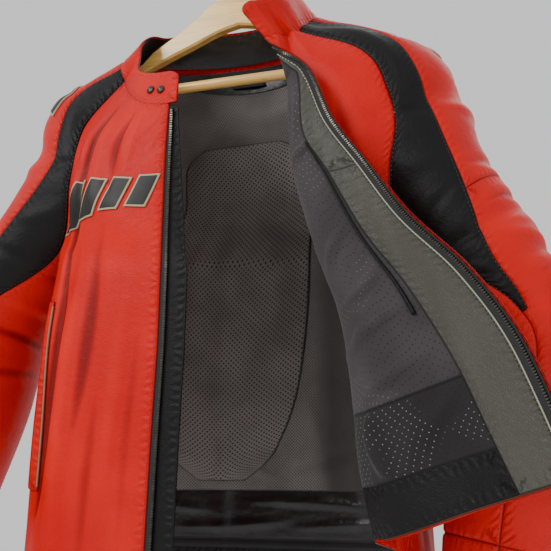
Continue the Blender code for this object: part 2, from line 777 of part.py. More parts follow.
def borders(points):
    """Each border point of a grid with the point next to it inside: two rows, then two columns."""
    for line, inside in ((0, 1), (-1, -2)):
        yield (line, slice(None)), points[line], points[inside]
        yield (slice(None), line), points[:, line], points[:, inside]


def sew_leather():
    """Builds the leather walls. Where two of them meet at a corner their inner points draw back."""
    seams = []
    for number, (name, _) in enumerate(LEATHERS):
        cloth = CLOTHS[name]
        for place, line, inside in borders(cloth.points):
            count = len(line)
            seams.append(np.column_stack([np.full(count, number), line, unit(inside - line)]))
    seams = np.concatenate(seams)
    for number, (name, look) in enumerate(LEATHERS):
        cloth = CLOTHS[name]
        outer = trimmed(cloth.points, SEAM)
        inner = outer - cloth.normals * LEATHER
        others = seams[seams[:, 0] != number]
        for place, line, inside in borders(cloth.points):
            away = unit(inside - line)
            near = np.linalg.norm(others[None, :, 1:4] - line[:, None], axis=-1) < SAME_SEAM
            inward = -cloth.normals[place] @ others[:, 4:].T > 0
            half = np.arccos(np.clip(away @ others[:, 4:].T, -1, 1)) / 2
            back = np.where(near & inward, LEATHER / np.tan(np.maximum(half, 0.35)), 0).max(1)
            inner[place] += away * np.minimum(back, MITRE_LIMIT)[:, None]
        slab(name, outer, inner, look, cloth.diagonal, cloth.side)


def laid_piece(name, host, columns, rows, look, depth, thickness, gap=SEAM):
    """A piece laid on a panel, at depth below its outer points, or over it at a depth below nothing."""
    cloth = CLOTHS[host]
    rows = np.asarray(rows, float)
    lay_grid(name, cloth, columns_at(columns, rows), rows[:, None], look, depth, thickness, gap)


def lay_grid(name, cloth, u, v, look, depth, thickness, gap=SEAM):
    u, v = np.broadcast_arrays(u, v)
    near = trimmed(cloth.laid(u, v, depth), gap)
    far = trimmed(cloth.laid(u, v, depth + thickness), gap)
    slab(name, near, far, look, cloth.diagonals(u, v), cloth.side)


def between(lines, low, high):
    """The lines from low to high, with low and high themselves."""
    inside = [line for line in lines if low + 1e-6 < line < high - 1e-6]
    return (low, *inside, high)


def make_body():
    cut_piece("front_right", front_right, FRONT_COLUMNS, BODY_ROWS, "red_leather")
    cut_piece("front_left", front_left, FLAP_COLUMNS, BODY_ROWS, "red_leather", side=-1)
    cut_piece("back_panel", back_panel, BACK_COLUMNS, BODY_ROWS, "red_leather")
    low_rows = between(BODY_ROWS, UNDERARM, 1)
    cut_piece("side_right", side_right, UNDER_COLUMNS, low_rows, "red_leather")
    cut_piece("side_left", side_left, UNDER_COLUMNS, low_rows, "red_leather", side=-1)


def make_sleeve(arm, side, word):
    """Soft strip, upper and lower outer sleeve, under sleeve and cuff of one arm."""
    facing = -side
    strip = sleeve_part(arm, side, at_front, at_cut)
    outer = sleeve_part(arm, side, at_cut, at_back)
    under = sleeve_part(arm, side, at_front, at_back_from_below)
    around = sleeve_part(arm, side, at_front, full_turn)
    cut_piece("shoulder_strip_" + word, strip, STRIP_COLUMNS, between(SLEEVE_ROWS, 0, STRIP_END),
              "black_leather", facing)
    cut_piece("sleeve_upper_" + word, outer, SLEEVE_COLUMNS, between(SLEEVE_ROWS, 0, ELBOW_SEAM),
              "red_leather", facing)
    cut_piece("sleeve_lower_" + word, outer, SLEEVE_COLUMNS, between(SLEEVE_ROWS, ELBOW_SEAM, CUFF_START),
              "red_leather", facing)
    cut_piece("sleeve_under_" + word, under, UNDER_COLUMNS, between(SLEEVE_ROWS, UNDERARM, CUFF_START),
              "red_leather", -facing)
    columns = [i / 20 for i in range(20)]
    points = around(np.array(columns)[None, :], np.array(CUFF_ROWS)[:, None])
    points[0] += unit(points[1] - points[0]) * SEAM
    sheet("cuff_" + word, points, LEATHER, "red_leather", facing, closed=True)


def make_collar():
    levels = (0, 0.45, 0.85, 1)
    outer = collar_points(levels)
    diagonal = short_diagonal(outer)
    inwards = normals_of(outer)
    slab("collar", trimmed(outer, SEAM), trimmed(outer + inwards * LEATHER, SEAM), "red_leather", diagonal, -1)
    near = (outer + inwards * LINING_DEPTH)[:-1, 3:-9]
    far = (outer + inwards * (LINING_DEPTH + LINING))[:-1, 3:-9]
    slab("collar_lining", trimmed(near, 0.002), trimmed(far, 0.002), "satin_lining", diagonal[:-1, 3:-9], -1)
    OVER_WOOD.append(dense(far))
    length = np.concatenate([[0], np.cumsum(np.linalg.norm(np.diff(outer[0], axis=0), axis=-1))])
    normal = -inwards
    for number, distance in enumerate(SNAP_PLACES, 1):
        column = np.argmin(abs(length - distance))
        centre = outer[1, column] + normal[1, column] * (SNAP_GAP + SNAP_HEIGHT / 2)
        stud("collar_snap_%d" % number, centre, normal[1, column])


def stud(name, centre, normal):
    """A low round snap cap that stands on the collar."""
    mesh = bpy.data.meshes.new(name)
    cap = bmesh.new()
    bmesh.ops.create_cone(cap, cap_ends=True, segments=20, radius1=SNAP_RADIUS,
                          radius2=0.8 * SNAP_RADIUS, depth=SNAP_HEIGHT)
    turn = Vector(normal).to_track_quat("Z", "Y").to_matrix().to_4x4()
    bmesh.ops.transform(cap, matrix=Matrix.Translation(Vector(centre)) @ turn, verts=cap.verts)
    cap.to_mesh(mesh)
    cap.free()
    smooth_shading(mesh)
    add_object(name, mesh, "gunmetal")


def make_right_front_trim():
    rows = between(BODY_ROWS, 0.014, 0.992)
    laid_piece("zip_tape_right", "front_right", (-0.036, 0, 0.03, 0.045), rows, "zip_tape",
               LINING_DEPTH, ZIP_TAPE)

    def strip_edge(v):
        return WIND_STRIP_TOP + (WIND_STRIP_EDGE - WIND_STRIP_TOP) * ease(v / 0.35)

    laid_piece("wind_strip_right", "front_right", (strip_edge, -0.036, 0, 0.03, 0.06), rows,
               "satin_lining", LINING_DEPTH + ZIP_TAPE + LAYER_GAP, WIND_STRIP)
    laid_piece("pocket_welt_right", "front_right", (0.85, 0.91, 0.965), between(BODY_ROWS, 0.50, 0.86),
               "red_leather", -LAYER_GAP - LEATHER, LEATHER)
    for bar, u_mid, v_mid, width, height, slant, rise in CHEST_BARS.rows:
        across, down = np.meshgrid(BAR_SHARES * width, BAR_SHARES * height)
        lay_grid("chest_bar_%d" % bar, CLOTHS["front_right"], u_mid + across - slant * down,
                 v_mid + down + rise * across, "patch_leather", -LAYER_GAP - APPLIQUE, APPLIQUE)


def make_zip_slider():
    """Slider left at the foot of the zip's right side, with its pull tab."""
    cloth = CLOTHS["front_right"]
    depth = LINING_DEPTH + ZIP_TAPE - SLIDER[1] / 2
    columns = np.array([SLIDER_U, 1.5 * SLIDER_U, SLIDER_U])
    foot = cloth.laid(columns, np.array([SLIDER_V, SLIDER_V, PULL_V]), depth)
    across = unit(foot[1] - foot[0])
    up = unit(foot[2] - foot[0])
    out = np.cross(up, across)
    out = out if out[1] < 0 else -out
    turn = Matrix([list(row) for row in np.stack([across, out, np.cross(across, out)], 1)]).to_4x4()
    beside = across * (SLIDER[0] / 2 + SLIDER_GAP)
    before = beside + out * (SLIDER[1] / 2 + PULL[1] / 2 + SEAM) - up * PULL_DROP
    for name, size, shift in (("zip_slider", SLIDER, beside), ("zip_pull", PULL, before)):
        mesh = bpy.data.meshes.new(name)
        box = bmesh.new()
        bmesh.ops.create_cube(box, size=1.0)
        bmesh.ops.scale(box, vec=Vector(size), verts=box.verts)
        bmesh.ops.bevel(box, geom=box.edges[:], offset=METAL_EDGE, segments=1, affect="EDGES")
        bmesh.ops.transform(box, matrix=Matrix.Translation(Vector(foot[0] + shift)) @ turn, verts=box.verts)
        box.to_mesh(mesh)
        box.free()
        add_object(name, mesh, "gunmetal")


def make_left_front_trim():
    """What shows on the inside of the open left front, and its pocket on the outside."""
    laid_piece("zip_tape_left", "front_left", (RED_EDGE, TAPE_EDGE), between(BODY_ROWS, 0.03, 0.985),
               "zip_tape", LINING_DEPTH, ZIP_TAPE)
    for name, low, high in (("upper", LINING_TOP, FACING_SEAM), ("lower", FACING_SEAM, 0.995)):
        laid_piece("facing_left_" + name, "front_left", FACING_COLUMNS, between(BODY_ROWS, low, high),
                   "facing_leather", LINING_DEPTH, LINING)
    lining = [*LINING_COLUMNS, *PAST_FOLD[:-1], 0.985]
    for name, low, high, look in (
            ("lining_left_upper", LINING_TOP, LINING_CROSS_SEAM, "mesh_lining"),
            ("lining_left_lower", LINING_CROSS_SEAM, HEM_FACING_LEFT, "mesh_lining"),
            ("hem_facing_left", HEM_FACING_LEFT, 0.995, "black_leather")):
        laid_piece(name, "front_left", lining, between(BODY_ROWS, low, high), look, LINING_DEPTH, LINING)

    slit = [part_way(facing_edge, BEFORE_FOLD, share) for share in PIPING_SHARES]
    laid_piece("inner_pocket_piping", "front_left", slit, between(BODY_ROWS, 0.31, 0.70),
               "facing_leather", LINING_DEPTH + LINING + LAYER_GAP, PIPING)
    welt = (flap_reach(0.150), flap_reach(0.161), flap_reach(0.172))
    laid_piece("pocket_welt_left", "front_left", welt, between(BODY_ROWS, 0.62, 0.93), "red_leather",
               -LAYER_GAP - LEATHER, LEATHER)
    laid_piece("lining_side_left", "side_left", between(UNDER_COLUMNS, 0.06, 0.94),
               between(BODY_ROWS, 0.48, 0.90), "mesh_lining", LINING_DEPTH + LAYER_GAP, LINING)


def make_back_inside():
    """Lining, waist band, joining zip, hem facing, neck facing, loop and protector of the back."""
    across = BACK_COLUMNS[1:-1]
    for name, low, high, look in (
            ("lining_back", LINING_TOP, BAND_TOP, "mesh_lining"),
            ("waist_band_back", BAND_TOP, JOIN_ZIP_TOP, "satin_lining"),
            ("joining_zip_back", JOIN_ZIP_TOP, JOIN_ZIP_END, "zip_tape"),
            ("hem_facing_back", JOIN_ZIP_END, 0.995, "black_leather")):
        laid_piece(name, "back_panel", across, between(BODY_ROWS, low, high), look, LINING_DEPTH, LINING)

    back = CLOTHS["back_panel"]
    above = LINING_DEPTH + LINING + LAYER_GAP

    def neck_row(u, t):
        """Row of the half-moon below the neck: deep in the middle and narrow at its ends."""
        return 0.012 + t * (0.012 + 0.040 * np.clip(4 * u * (1 - u), 0, 1) ** 1.5)

    u = np.array(between(BACK_COLUMNS, 0.16, 0.84))[None, :]
    v = neck_row(u, np.array([0, 0.5, 1])[:, None])
    lay_grid("neck_facing", back, u, v, "satin_lining", above, LINING)
    u = np.array([0.42, 0.5, 0.58])[None, :]
    v = neck_row(u, np.array([0.35, 0.58, 0.8])[:, None])
    lay_grid("hanger_loop", back, u, v, "facing_leather", above + LINING + LAYER_GAP, HANGER_LOOP)

    rows = PROTECTOR.rows[:, 0][:, None]
    half, = PROTECTOR.read(rows, "half")
    share = np.linspace(-1, 1, PROTECTOR_COLUMNS)[None, :]
    crown = np.sqrt((1 - share ** 2) * half / half.max())
    height = PROTECTOR_RIM + (PROTECTOR_CROWN - PROTECTOR_RIM) * crown
    u = PROTECTOR_MIDDLE + share * half
    near = back.laid(u, rows, above)
    rise = unit(back.laid(u, rows, above + LINING) - near)
    slab("back_protector", near, near + rise * height[..., None], "padding")


def make_cap_patches():
    """A plain raised patch on the top of each sleeve."""
    for word, first, last in (("right", 0.11, 0.35), ("left", 0.30, 0.56)):
        laid_piece("sleeve_patch_" + word, "sleeve_upper_" + word, between(SLEEVE_COLUMNS, first, last),
                   (0.13, 0.16, 0.20), "patch_leather", -LAYER_GAP - APPLIQUE, APPLIQUE)


def dense(points, times=6):
    """Points of a grid and between them, each cell cut into times by times."""
    rows, columns = points.shape[:2]
    down = np.linspace(0, rows - 1, (rows - 1) * times + 1)
    across = np.linspace(0, columns - 1, (columns - 1) * times + 1)
    i = np.minimum(down.astype(int), rows - 2)
    j = np.minimum(across.astype(int), columns - 2)
    t = (down - i)[:, None, None]
    x = (across - j)[None, :, None]
    upper = points[i][:, j] * (1 - x) + points[i][:, j + 1] * x
    lower = points[i + 1][:, j] * (1 - x) + points[i + 1][:, j + 1] * x
    return (upper * (1 - t) + lower * t).reshape(-1, 3)


def clear_of_cloth(x, top):
    """The wood's upper edge at x, lowered until no cloth point above the wood lies under it."""
    cloth = np.concatenate(OVER_WOOD)
    cloth = cloth[(abs(cloth[:, 1]) < WOOD / 2 + 0.002) & (abs(cloth[:, 0]) < HANGER_REACH + 0.002)]
    cloth = cloth[cloth[:, 2] > WOOD_END]
    for _ in range(3):
        i = np.clip(np.searchsorted(x, cloth[:, 0]) - 1, 0, len(x) - 2)
        excess = np.interp(cloth[:, 0], x, top) - (cloth[:, 2] - SHOULDER_GAP)
        excess = np.maximum(excess, 0)
        drop = np.zeros(len(x))
        nearer = i + (cloth[:, 0] - x[i] > x[i + 1] - cloth[:, 0])
        np.maximum.at(drop, nearer, excess)
        top = top - drop
    return top


def make_hanger():
    x = np.linspace(-HANGER_REACH, HANGER_REACH, HANGER_COLUMNS)
    top, bottom = HANGER.read(abs(x), "top", "bottom")
    for word in ("right", "left"):
        for piece in ("sleeve_upper_", "shoulder_strip_"):
            cloth = CLOTHS[piece + word]
            OVER_WOOD.append(dense(cloth.points - cloth.normals * LEATHER))
    top = clear_of_cloth(x, top)
    near = np.stack([vector(x, WOOD / 2, top), vector(x, WOOD / 2, bottom)])
    far = near - np.array([0, WOOD, 0])
    wood = slab("hanger_body", near, far, "pale_wood")
    edge = wood.modifiers.new("Rounded edges", "BEVEL")
    edge.width = HANGER_EDGE
    edge.limit_method = "ANGLE"
    edge.angle_limit = math.radians(50)
    reach = BAR_HALF + BAR_FIT
    cut(wood, rod("bar_cutter", BAR_RADIUS + BAR_FIT, (-reach, 0, BAR_Z), (reach, 0, BAR_Z)))
    foot = HOOK_STEM_END - BAR_FIT
    cut(wood, rod("stem_cutter", HOOK_WIRE + BAR_FIT, (0, 0, foot), (0, 0, HOOK_STEM_TOP), 16))
    bar = rod("hanger_bar", BAR_RADIUS, (-BAR_HALF, 0, BAR_Z), (BAR_HALF, 0, BAR_Z))
    PARTS.objects.link(bar)
    bar.data.materials.append(material("pale_wood"))

    centre = -HOOK_INSIDE
    reach = HOOK_INSIDE + HOOK_WIRE
    turns = np.radians(np.linspace(-90, 205, 20))
    path = [(0, HOOK_STEM_END), (0, HOOK_STEM_BEND)]
    path += [(reach * math.cos(turn), centre + reach * math.sin(turn)) for turn in turns]
    wire = bpy.data.curves.new("hanger_hook", "CURVE")
    wire.dimensions = "3D"
    wire.bevel_depth = HOOK_WIRE
    wire.bevel_resolution = 2
    wire.use_fill_caps = True
    line = wire.splines.new("POLY")
    line.points.add(len(path) - 1)
    for point, (across, height) in zip(line.points, path):
        point.co = (across, 0, height, 1)
    wire.materials.append(material("steel_wire"))
    PARTS.objects.link(bpy.data.objects.new("hanger_hook", wire))


def rod(name, radius, start, end, segments=24):
    """A plain cylinder between two points."""
    start, end = Vector(start), Vector(end)
    mesh = bpy.data.meshes.new(name)
    shape = bmesh.new()
    bmesh.ops.create_cone(shape, cap_ends=True, segments=segments, radius1=radius, radius2=radius,
                          depth=(end - start).length)
    turn = (end - start).to_track_quat("Z", "Y").to_matrix().to_4x4()
    bmesh.ops.transform(shape, matrix=Matrix.Translation((start + end) / 2) @ turn, verts=shape.verts)
    shape.to_mesh(mesh)
    shape.free()
    smooth_shading(mesh)
    return bpy.data.objects.new(name, mesh)


def cut(thing, cutter):
    CUTTERS.objects.link(cutter)
    cutter.hide_render = True
    cutter.display_type = "WIRE"
    boolean = thing.modifiers.new(cutter.name, "BOOLEAN")
    boolean.operation = "DIFFERENCE"
    boolean.solver = "EXACT"
    boolean.object = cutter


def remove_everything():
    for thing in list(bpy.data.objects):
        bpy.data.objects.remove(thing, do_unlink=True)


remove_everything()
PARTS = bpy.data.collections.new("leather_jacket")
CUTTERS = bpy.data.collections.new("cutters")
bpy.context.scene.collection.children.link(PARTS)
bpy.context.scene.collection.children.link(CUTTERS)

CLOTHS = {}
LEATHERS = []
OVER_WOOD = []

make_body()
make_sleeve(SLEEVE_RIGHT, -1, "right")
make_sleeve(SLEEVE_LEFT, 1, "left")
sew_leather()
make_collar()
make_right_front_trim()
make_zip_slider()
make_left_front_trim()
make_back_inside()
make_cap_patches()
make_hanger()
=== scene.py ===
"""Leather motorcycle jacket, unzipped and hanging on a wooden hanger: its looks.

Metres, +Z up, the jacket's front towards -Y. Laid out as an add-on and run as a script.
Every cut piece is a function of u across and v down, evaluated on a fine grid, moved
along its normal by creases and by the dip beside its seams, and given its
wall. Pieces that lie on a panel are the same points, moved inwards or outwards.
"""
import math

import bmesh
import bpy
import numpy as np
from bpy.props import FloatProperty, FloatVectorProperty, PointerProperty
from mathutils import Matrix


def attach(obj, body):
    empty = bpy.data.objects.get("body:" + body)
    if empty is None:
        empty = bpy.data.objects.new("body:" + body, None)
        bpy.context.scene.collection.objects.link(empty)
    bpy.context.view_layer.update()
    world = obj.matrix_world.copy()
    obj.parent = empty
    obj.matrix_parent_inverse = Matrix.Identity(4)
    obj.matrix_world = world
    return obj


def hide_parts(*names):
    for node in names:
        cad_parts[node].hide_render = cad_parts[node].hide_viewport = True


bl_info = {
    "name": "Leather motorcycle jacket on a hanger",
    "version": (1, 0, 0),
    "blender": (4, 5, 0),
    "location": "3D View > Sidebar > Jacket",
    "description": "Builds the leather, linings, zips, sewing, hanger and stage of a hanging jacket",
    "category": "Object",
}

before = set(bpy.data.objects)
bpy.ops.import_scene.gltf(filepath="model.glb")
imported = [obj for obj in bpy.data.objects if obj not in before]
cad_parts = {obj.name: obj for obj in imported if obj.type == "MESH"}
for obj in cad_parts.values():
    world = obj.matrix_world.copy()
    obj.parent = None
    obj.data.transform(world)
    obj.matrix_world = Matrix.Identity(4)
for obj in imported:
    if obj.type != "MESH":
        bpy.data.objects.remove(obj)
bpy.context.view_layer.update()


def linear(code):
    """Linear RGB of an sRGB hex colour."""
    values = np.array([int(code[i:i + 2], 16) for i in (1, 3, 5)]) / 255
    return tuple(np.where(values <= 0.04045, values / 12.92, ((values + 0.055) / 1.055) ** 2.4).tolist())


# Thicknesses and clearances
LEATHER = 0.0014
LINING = 0.0010
SEAM = 0.00035
LAYER_GAP = 0.0006
LINING_DEPTH = LEATHER + LAYER_GAP
PIPING = 0.0016
HANGER_LOOP = 0.0018

# Where the armhole closes, as a share of the body's length and of the sleeve's
UNDERARM = 0.40
ELBOW_SEAM = 0.44
STRIP_END = 0.66
CUFF_START = 0.93

# Collar
COLLAR_HEIGHT = 0.042
COLLAR_CORNER = 0.013
SNAP_GAP = 0.0006
SNAP_PLACES = (0.020, 0.036)

# Trim
ZIP_TAPE = 0.0009
WIND_STRIP = 0.0016
# Free edge of the wind strip, as a share of the right front past its zip: at the top, and lower down
WIND_STRIP_TOP = -0.085
WIND_STRIP_EDGE = -0.150
APPLIQUE = 0.0012
FACING_SEAM = UNDERARM
LINING_TOP = 0.04
LINING_CROSS_SEAM = 0.82
HEM_FACING_LEFT = 0.93
BAND_TOP = 0.82
JOIN_ZIP_TOP = 0.91
JOIN_ZIP_END = 0.93
PROTECTOR_MIDDLE = 0.422
PROTECTOR_RIM = 0.002
PROTECTOR_CROWN = 0.012

# Hanger
BAR_RADIUS = 0.006
BAR_Z = -0.161
BAR_HALF = 0.168
HOOK_WIRE = 0.002
HOOK_INSIDE = 0.020
HOOK_STEM_END = -0.078
HOOK_STEM_BEND = -0.058


class Table:
    """Rows of named columns, read anywhere between them as smooth curves."""

    def __init__(self, text):
        lines = [line.split() for line in text.strip().splitlines()]
        self.names = lines[0]
        self.rows = np.array([[float(word) for word in line] for line in lines[1:]])

    def read(self, at, *names):
        columns = [self.names.index(name) for name in names]
        values = spline(self.rows[:, 0], self.rows[:, columns], at)
        return [values[..., i] for i in range(len(names))]

    def point(self, at, *names):
        return np.stack(self.read(at, *(names or ("x", "y", "z"))), -1)


def slopes(gap, step):
    """Slope at each knot: the mean of its two neighbours' steps, weighted by the other's gap."""
    inner = (step[:-1] * gap[1:] + step[1:] * gap[:-1]) / (gap[:-1] + gap[1:])
    return np.concatenate([step[:1], inner, step[-1:]])


def cubic(a, b, m, n, x):
    """Cubic from a to b over x 0 to 1, with slopes m and n."""
    return (a * (2 * x**3 - 3 * x**2 + 1) + b * (3 * x**2 - 2 * x**3)
            + m * (x**3 - 2 * x**2 + x) + n * (x**3 - x**2))


def spline(knots, values, at):
    """Smooth curve through the values at the knots. Past its ends it stays at the end values."""
    gap = np.diff(knots)[:, None]
    slope = slopes(gap, np.diff(values, axis=0) / gap)
    at = np.clip(np.asarray(at, float), knots[0], knots[-1])
    i = np.clip(np.searchsorted(knots, at, side="right") - 1, 0, len(knots) - 2)
    width = (knots[i + 1] - knots[i])[..., None]
    x = (at - knots[i])[..., None] / width
    return cubic(values[i], values[i + 1], slope[i] * width, slope[i + 1] * width, x)


def ease(x):
    """Smooth step from 0 to 1."""
    x = np.clip(x, 0, 1)
    return x * x * (3 - 2 * x)


def unit(vectors):
    """The same directions, one long."""
    return vectors / np.maximum(np.linalg.norm(vectors, axis=-1, keepdims=True), 1e-9)


def vector(x, y, z):
    """Points from three coordinates."""
    return np.stack(np.broadcast_arrays(x, y, z), -1)


# Sleeves: s runs from the neck (0) to the cuff (1). x y z is the middle of a ring,
# tilt and fwd turn it, out and deep are its half sizes. front and back are the
# angles of its two seams, cut the angle where the soft strip meets the outer sleeve.
SLEEVE_RIGHT = Table("""
s     x      y      z     tilt fwd  out   deep  front back cut
0.00 -0.112 -0.020 -0.158  30 -18  0.036 0.052  88   35   55
0.10 -0.152 -0.012 -0.202  20  -8  0.060 0.070  96   75   52
0.20 -0.167 -0.012 -0.240  45   0  0.080 0.078  98   92   74
0.30 -0.178 -0.014 -0.287  64   0  0.078 0.082  100  110  75
0.40 -0.238 -0.016 -0.350  74   2  0.062 0.078  140  140  76
0.55 -0.300 -0.025 -0.430  78   5  0.063 0.075  112  140  80
0.70 -0.322 -0.040 -0.530  80  12  0.062 0.072  86   140  85
0.85 -0.338 -0.070 -0.630  80  18  0.055 0.064  90   140  90
1.00 -0.352 -0.105 -0.735  80  20  0.047 0.054  90   140  90
""")
SLEEVE_LEFT = Table("""
s     x      y      z     tilt fwd  out   deep  front back cut
0.00  0.088 -0.012 -0.148  12   0  0.044 0.062  88   40   30
0.10  0.148 -0.014 -0.188  16   0  0.053 0.068  78   75   34
0.20  0.180 -0.012 -0.226  45   0  0.070 0.078  90   92   58
0.30  0.192 -0.014 -0.275  60   0  0.074 0.084  94   110  60
0.40  0.222 -0.018 -0.338  50   2  0.066 0.082  140  140  64
0.55  0.262 -0.030 -0.408  56   5  0.064 0.076  112  140  84
0.70  0.298 -0.040 -0.490  78   8  0.062 0.070  86   140  85
0.85  0.274 -0.052 -0.600  100 10  0.056 0.062  90   140  90
1.00  0.250 -0.072 -0.725  103 10  0.047 0.054  90   140  90
""")

# Seams of the body below the armhole, v from the neck (0) to the hem (1)
SIDE_FRONT_RIGHT = Table("""
v     x      y      z
0.40 -0.200 -0.068 -0.372
0.55 -0.205 -0.072 -0.450
0.75 -0.216 -0.068 -0.560
1.00 -0.232 -0.058 -0.688
""")
SIDE_FRONT_LEFT = Table("""
v     x      y      z
0.40  0.186 -0.072 -0.365
0.55  0.180 -0.082 -0.450
0.75  0.180 -0.086 -0.560
1.00  0.184 -0.084 -0.684
""")
SIDE_BACK_RIGHT = Table("""
v     x      y      z
0.40 -0.205  0.034 -0.360
0.55 -0.214  0.030 -0.462
0.75 -0.222  0.030 -0.590
1.00 -0.230  0.030 -0.728
""")
SIDE_BACK_LEFT = Table("""
v     x      y      z
0.40  0.190  0.036 -0.360
0.55  0.184  0.036 -0.462
0.75  0.180  0.036 -0.590
1.00  0.178  0.036 -0.728
""")
ZIP_RIGHT = Table("""
v     x      y      z     bulge skew dip
0.00 -0.036 -0.125 -0.229  0.010  0.0 -0.012
0.15 -0.038 -0.130 -0.290  0.014  0.0 -0.006
0.25 -0.039 -0.132 -0.335  0.016  0.1 -0.004
0.40 -0.041 -0.134 -0.400  0.020  0.2  0.000
0.55 -0.044 -0.134 -0.470  0.020  0.3  0.000
0.75 -0.051 -0.134 -0.568  0.020  0.3  0.000
1.00 -0.060 -0.132 -0.696  0.020  0.3 -0.004
""")
BACK = Table("""
v     bulge skew dip
0.00  0.046  0.0 0.004
0.10  0.020  0.0 0.002
0.20  0.016  0.0 0.000
0.40  0.034  0.0 0.000
0.70  0.044  0.0 0.000
1.00  0.042  0.0 -0.010
""")
SIDES = Table("""
v     bulge
0.40  0.004
0.60  0.010
1.00  0.018
""")

# The open left front: e is the free zip edge, f the top of the fold that it hangs from
FLAP = Table("""
v     ex     ey     ez     fx     fy     fz     roll  sag
0.00  0.057 -0.095 -0.159  0.075 -0.085 -0.154  0.004 0.000
0.05  0.078 -0.110 -0.180  0.083 -0.100 -0.201  0.006 0.000
0.14  0.108 -0.112 -0.206  0.087 -0.106 -0.218  0.007 0.000
0.27  0.137 -0.130 -0.269  0.088 -0.110 -0.279  0.010 0.002
0.40  0.170 -0.145 -0.319  0.095 -0.114 -0.326  0.012 0.005
0.50  0.203 -0.165 -0.369  0.112 -0.116 -0.388  0.014 0.008
0.66  0.256 -0.190 -0.430  0.135 -0.118 -0.459  0.016 0.010
0.80  0.292 -0.212 -0.488  0.144 -0.120 -0.537  0.017 0.010
0.90  0.312 -0.230 -0.540  0.148 -0.122 -0.591  0.017 0.008
1.00  0.328 -0.246 -0.588  0.160 -0.124 -0.655  0.017 0.006
""")
# Shares of the left front's width at which its zip edge, roll and seam lie
FLAP_KNOTS = np.array([0, 0.26, 0.52, 0.58, 0.64, 0.82, 1])
FOLD = 0.58
# How far the leather facing reaches from the zip edge, as a share of the way to the fold
FACING = Table("""
v     share
0.00  0.72
0.14  0.66
0.27  0.72
0.40  0.57
0.50  0.50
0.66  0.43
0.80  0.35
1.00  0.26
""")

# The inner pocket's piping, between the leather facing and the fold
PIPING_SHARES = (0.10, 0.16)
# Slanted bars sewn on the chest: middle and size as shares of the right front, the lean
# of their sides and the rise of their ends towards the zip
CHEST_BARS = Table("""
bar  u     v     width height slant rise
1    0.815 0.324 0.150 0.088  -1.20 0.10
2    0.600 0.296 0.160 0.088  -1.20 0.10
3    0.380 0.268 0.165 0.088  -1.20 0.10
4    0.158 0.240 0.165 0.088  -1.20 0.10
""")
# Half width of the back protector down the back, as a share of the back's width
PROTECTOR = Table("""
v     half
0.165 0.150
0.190 0.210
0.230 0.236
0.300 0.253
0.400 0.258
0.480 0.258
0.560 0.250
0.640 0.230
0.710 0.190
0.770 0.130
0.800 0.070
""")

# Folds of the body: a soft trough (or a ridge, with depth below nothing) down the
# cloth, from u_top at v_from to u_end at v_to
FRONT_FOLDS = Table("""
fold u_top u_end v_from v_to width depth
0    0.70  0.78  0.28   0.80 0.085  0.0050
1    0.48  0.54  0.36   0.95 0.085 -0.0030
2    0.22  0.16  0.50   1.05 0.070  0.0020
""")
BACK_FOLDS = Table("""
fold u_top u_end v_from v_to width depth
0    0.15  0.11  0.30   0.95 0.070  0.0040
1    0.80  0.84  0.20   0.90 0.070  0.0040
2    0.42  0.46  0.60   1.05 0.090 -0.0020
""")

# Folds round a sleeve: at s, about angle, over half sizes long and round, deep inwards
SLEEVE_FOLDS = Table("""
fold s    angle long  round depth
0    0.27  30   0.022  60   0.0045
1    0.36 -40   0.022  50   0.0050
2    0.51  60   0.018  55   0.0050
3    0.585 10   0.018  60   0.0060
4    0.655 80   0.018  60   0.0050
5    0.73 -10   0.020  60   0.0050
6    0.82  50   0.022  60   0.0035
""")
# The left neck is pulled flat between its top and its front seam
NECK_PULL = 0.013
NECK_PULL_ANGLE = 48


def fold_depth(table, u, v):
    """Sum of the body's folds at u, v. It fades out towards the panel's own seams."""
    total = 0.0
    for row in table.rows:
        _, u_top, u_end, v_from, v_to, width, depth = row
        along = np.clip((v - v_from) / (v_to - v_from), 0, 1)
        middle = u_top + (u_end - u_top) * along
        total = total + depth * np.exp(-((u - middle) / width) ** 2) * np.sin(math.pi * along) ** 0.8
    return total * np.clip(6 * u * (1 - u), 0, 1)


def sleeve_fold_depth(side, s, angle):
    """How deep the folds press a sleeve in, and the pull at the left neck."""
    total = NECK_PULL * np.exp(-(s / 0.06) ** 2 - ((angle - NECK_PULL_ANGLE) / 32) ** 2) * (side > 0)
    for row in SLEEVE_FOLDS.rows:
        _, place, middle, length, spread, depth = row
        total = total + depth * np.exp(-((s - place) / length) ** 2 - ((angle - middle) / spread) ** 2)
    return total


def ring(arm, side, s, angle):
    """Point of a sleeve: angle 0 is its top, 90 its front, 180 under it and -90 its back."""
    s, angle = np.broadcast_arrays(np.asarray(s, float), np.asarray(angle, float))
    tilt, fwd, out, deep = arm.read(s, "tilt", "fwd", "out", "deep")
    tilt, fwd, turn = np.radians(tilt), np.radians(fwd), np.radians(angle)
    outward = vector(side * np.sin(tilt), 0, np.cos(tilt))
    forward = vector(0, -np.cos(fwd), np.sin(fwd))
    dent = sleeve_fold_depth(side, s, angle)
    reach_out = ((out - dent) * np.cos(turn))[..., None]
    reach_fwd = ((deep - dent) * np.sin(turn))[..., None]
    return arm.point(s) + outward * reach_out + forward * reach_fwd


def seam_angle(arm, s, end):
    """Angle of a sleeve's front seam, or of its back seam as a negative angle."""
    angle, = arm.read(s, end)
    return angle if end == "front" else -angle


